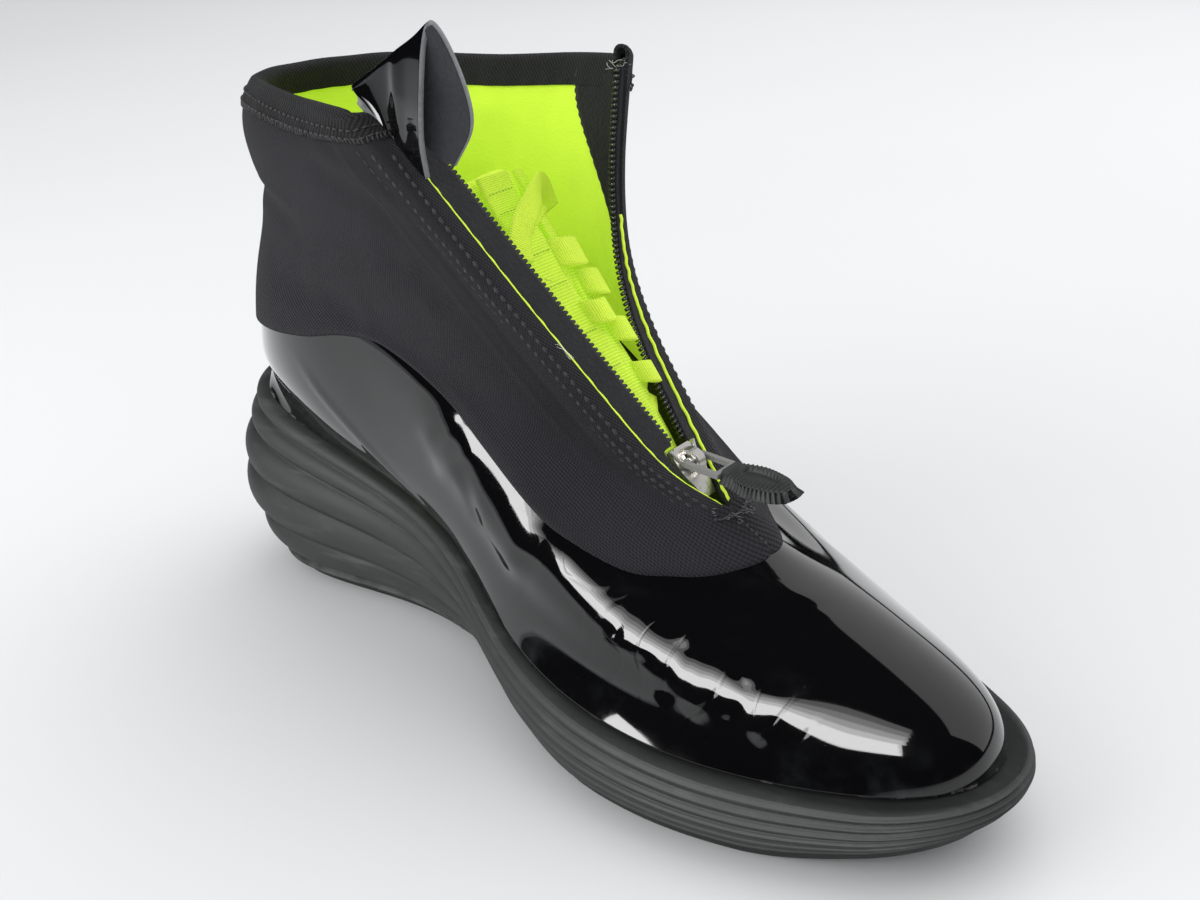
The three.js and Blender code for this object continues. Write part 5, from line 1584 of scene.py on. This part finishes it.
class MakeThreads(bpy.types.Operator):
    """Add lint, frayed threads and the small bar tack below the zip"""

    bl_idname = "boot.threads"
    bl_label = "Loose threads"

    def execute(self, context):
        colours = palette()
        rng = random.Random(11)
        white = thread("white lint", (0.7, 0.7, 0.68))
        grey = thread("grey fray", (0.16, 0.16, 0.17))
        seat = Vector(to_frame(SKIN.off(0.15, 7.55, SHAFT_PROUD + 1.2)))
        for k in range(3):
            points = [seat + Vector((-4 + 3 * step + rng.uniform(-1, 1), -0.6 * step + rng.uniform(-1, 1),
                                     rng.uniform(-1.6, 1.6))) * MM for step in range(4)]
            thread_curve(f"lint_{k + 1}", points, 0.05, white)
        head = Vector(to_frame(SKIN.off(15.75, 10.9, BINDING_PROUD)))
        for k in range(6):
            points = [head + Vector((-rng.uniform(0, 2), -rng.uniform(0, 2), 0)) * MM]
            for _ in range(4):
                points.append(points[-1] + Vector((-rng.uniform(0, 1.8), rng.uniform(-1.4, 0.6),
                                                   rng.uniform(-0.9, 1.0))) * MM)
            thread_curve(f"collar_fray_{k + 1}", points, 0.06, white)
        for k in range(16):
            column = rng.uniform(-0.5, 0.7) % COLUMNS
            row = rng.uniform(4.75, 5.05)
            start = Vector(to_frame(SKIN.off(column, row, SHAFT_PROUD + 0.6)))
            points = [start]
            for _ in range(3):
                points.append(points[-1] + Vector((rng.uniform(-1.6, 1.6), rng.uniform(-1.6, 1.6),
                                                   rng.uniform(-0.5, 0.5))) * MM)
            thread_curve(f"tack_fray_{k + 1}", points, 0.08, grey)
        columns = np.concatenate([np.linspace(15.2, 16, 12), np.linspace(0, 0.8, 12)[1:]])
        rows = np.full(len(columns), 4.86)
        path = SKIN.off(columns, rows, SHAFT_PROUD + 0.35)
        stitches("throat_foot_tack", path, SKIN.normal(columns, rows), 1.0, 1.6, 0.7,
                 thread("foot tack thread", shade(colours.binding, 1.2)))
        rows = np.linspace(4.15, 4.85, 14)
        path = SKIN.off(0.02, rows, SHAFT_PROUD + 0.3)
        stitches("front_seam_stitch", path, SKIN.normal(0.02, rows), 1.6, 1.3, 0.6,
                 thread("front seam thread", shade(colours.binding, 1.6)))
        return {"FINISHED"}


def area_light(name, place, size, radiance, serves, roll=0.0):
    """A rectangular soft light aimed at the boot, for glossy or for dull surfaces."""
    light = bpy.data.lights.new(name, "AREA")
    light.shape = "RECTANGLE"
    light.size, light.size_y = size
    light.energy = radiance * math.pi * size[0] * size[1]
    obj = linked(name, light)
    back = (Vector(place) - Vector(LIGHT_AIM)).normalized()
    obj.rotation_mode = "QUATERNION"
    obj.rotation_quaternion = back.to_track_quat("Z", "Y") @ Quaternion((0, 0, 1), math.radians(roll))
    obj.location = place
    obj.visible_glossy = serves == "glossy"
    obj.visible_diffuse = serves == "diffuse"


class MakeStage(bpy.types.Operator):
    """Build the floor, lights and camera"""

    bl_idname = "boot.stage"
    bl_label = "Stage"

    def execute(self, context):
        scene = context.scene
        azimuth = math.radians(CAMERA["azimuth"])
        elevation = math.radians(CAMERA["elevation"])
        roll = math.radians(CAMERA["roll"])
        back = Vector((math.sin(azimuth) * math.cos(elevation), -math.cos(azimuth) * math.cos(elevation),
                       math.sin(elevation)))
        right = Vector((math.cos(azimuth), math.sin(azimuth), 0))
        up = back.cross(right)
        turned = right * math.cos(roll) + up * math.sin(roll)
        upright = up * math.cos(roll) - right * math.sin(roll)
        camera = bpy.data.cameras.new("Camera")
        camera.sensor_width = 36
        camera.lens = CAMERA["lens"]
        camera.clip_start = 0.01
        camera.clip_end = 50
        holder = linked("Camera", camera)
        matrix = Matrix((turned, upright, back)).transposed().to_4x4()
        matrix.translation = Vector(CAMERA["target"]) + back * CAMERA["distance"]
        holder.matrix_world = matrix
        scene.camera = holder

        bm = bmesh.new()
        bmesh.ops.create_grid(bm, x_segments=4, y_segments=4, size=6)
        floor = mesh_object("floor", bm)
        paper = Surface("floor paper", Roughness=0.85, Specular_IOR_Level=0.2)
        grain = paper.noise(0.5, 2.0)
        paper.set(Base_Color=paper.mix(grain, (0.78, 0.785, 0.79), (0.82, 0.825, 0.83)))
        floor.data.materials.append(paper.material)

        world = bpy.data.worlds.new("Studio")
        scene.world = world
        world.use_nodes = True
        backdrop = world.node_tree.nodes["Background"]
        backdrop.inputs["Color"].default_value = (0.97, 0.985, 1.0, 1.0)
        backdrop.inputs["Strength"].default_value = 0.72
        world.cycles_visibility.glossy = False

        for part, (height, tall, radiance) in enumerate(WINDOW_PARTS):
            turn = math.radians(WINDOW_TURN)
            rise = math.radians(height)
            place = Vector(LIGHT_AIM) + WINDOW_DISTANCE * Vector(
                (math.cos(turn) * math.cos(rise), math.sin(turn) * math.cos(rise), math.sin(rise)))
            size = (WINDOW_WIDTH, 2 * WINDOW_DISTANCE * math.tan(math.radians(tall / 2)))
            area_light(f"Window {part + 1}", place, size, radiance, "glossy", WINDOW_ROLL)
        area_light("Back glow", (0.5, 0.85, 0.7), (2.2, 1.4), 1.0, "glossy")
        area_light("Side fill", (-0.35, -0.75, 0.5), (0.7, 0.5), 3.0, "diffuse")
        area_light("Top fill", (0.2, 0.9, 1.5), (2.2, 2.2), 1.1, "diffuse")
        scene.view_settings.view_transform = "Standard"
        return {"FINISHED"}


class BootPanel(bpy.types.Panel):
    """Lists the boot's sizes, colours and steps"""

    bl_idname = "VIEW3D_PT_boot"
    bl_label = "Sneaker boot"
    bl_space_type = "VIEW_3D"
    bl_region_type = "UI"
    bl_category = "Boot"

    def draw(self, context):
        layout = self.layout
        for group in (context.scene.boot_sizes, context.scene.boot_colours):
            for key in group.bl_rna.properties.keys():
                if key not in ("rna_type", "name"):
                    layout.prop(group, key)
        for step in STEPS:
            layout.operator(step.bl_idname)


STEPS = (MakeStage, MakeSole, MakeShell, MakeShaft, MakeBinding, MakeZip, MakeSlider, MakeLoop,
         MakeTongue, MakeLaces, MakeThreads)
CLASSES = (BootSizes, BootColours, *STEPS, BootPanel)


def register():
    for cls in CLASSES:
        bpy.utils.register_class(cls)
    bpy.types.Scene.boot_sizes = bpy.props.PointerProperty(type=BootSizes)
    bpy.types.Scene.boot_colours = bpy.props.PointerProperty(type=BootColours)


def unregister():
    del bpy.types.Scene.boot_colours
    del bpy.types.Scene.boot_sizes
    for cls in reversed(CLASSES):
        bpy.utils.unregister_class(cls)


def main():
    register()
    for step in STEPS:
        group, name = step.bl_idname.split(".")
        getattr(getattr(bpy.ops, group), name)()
    bpy.context.view_layer.update()


if __name__ == "__main__":
    main()
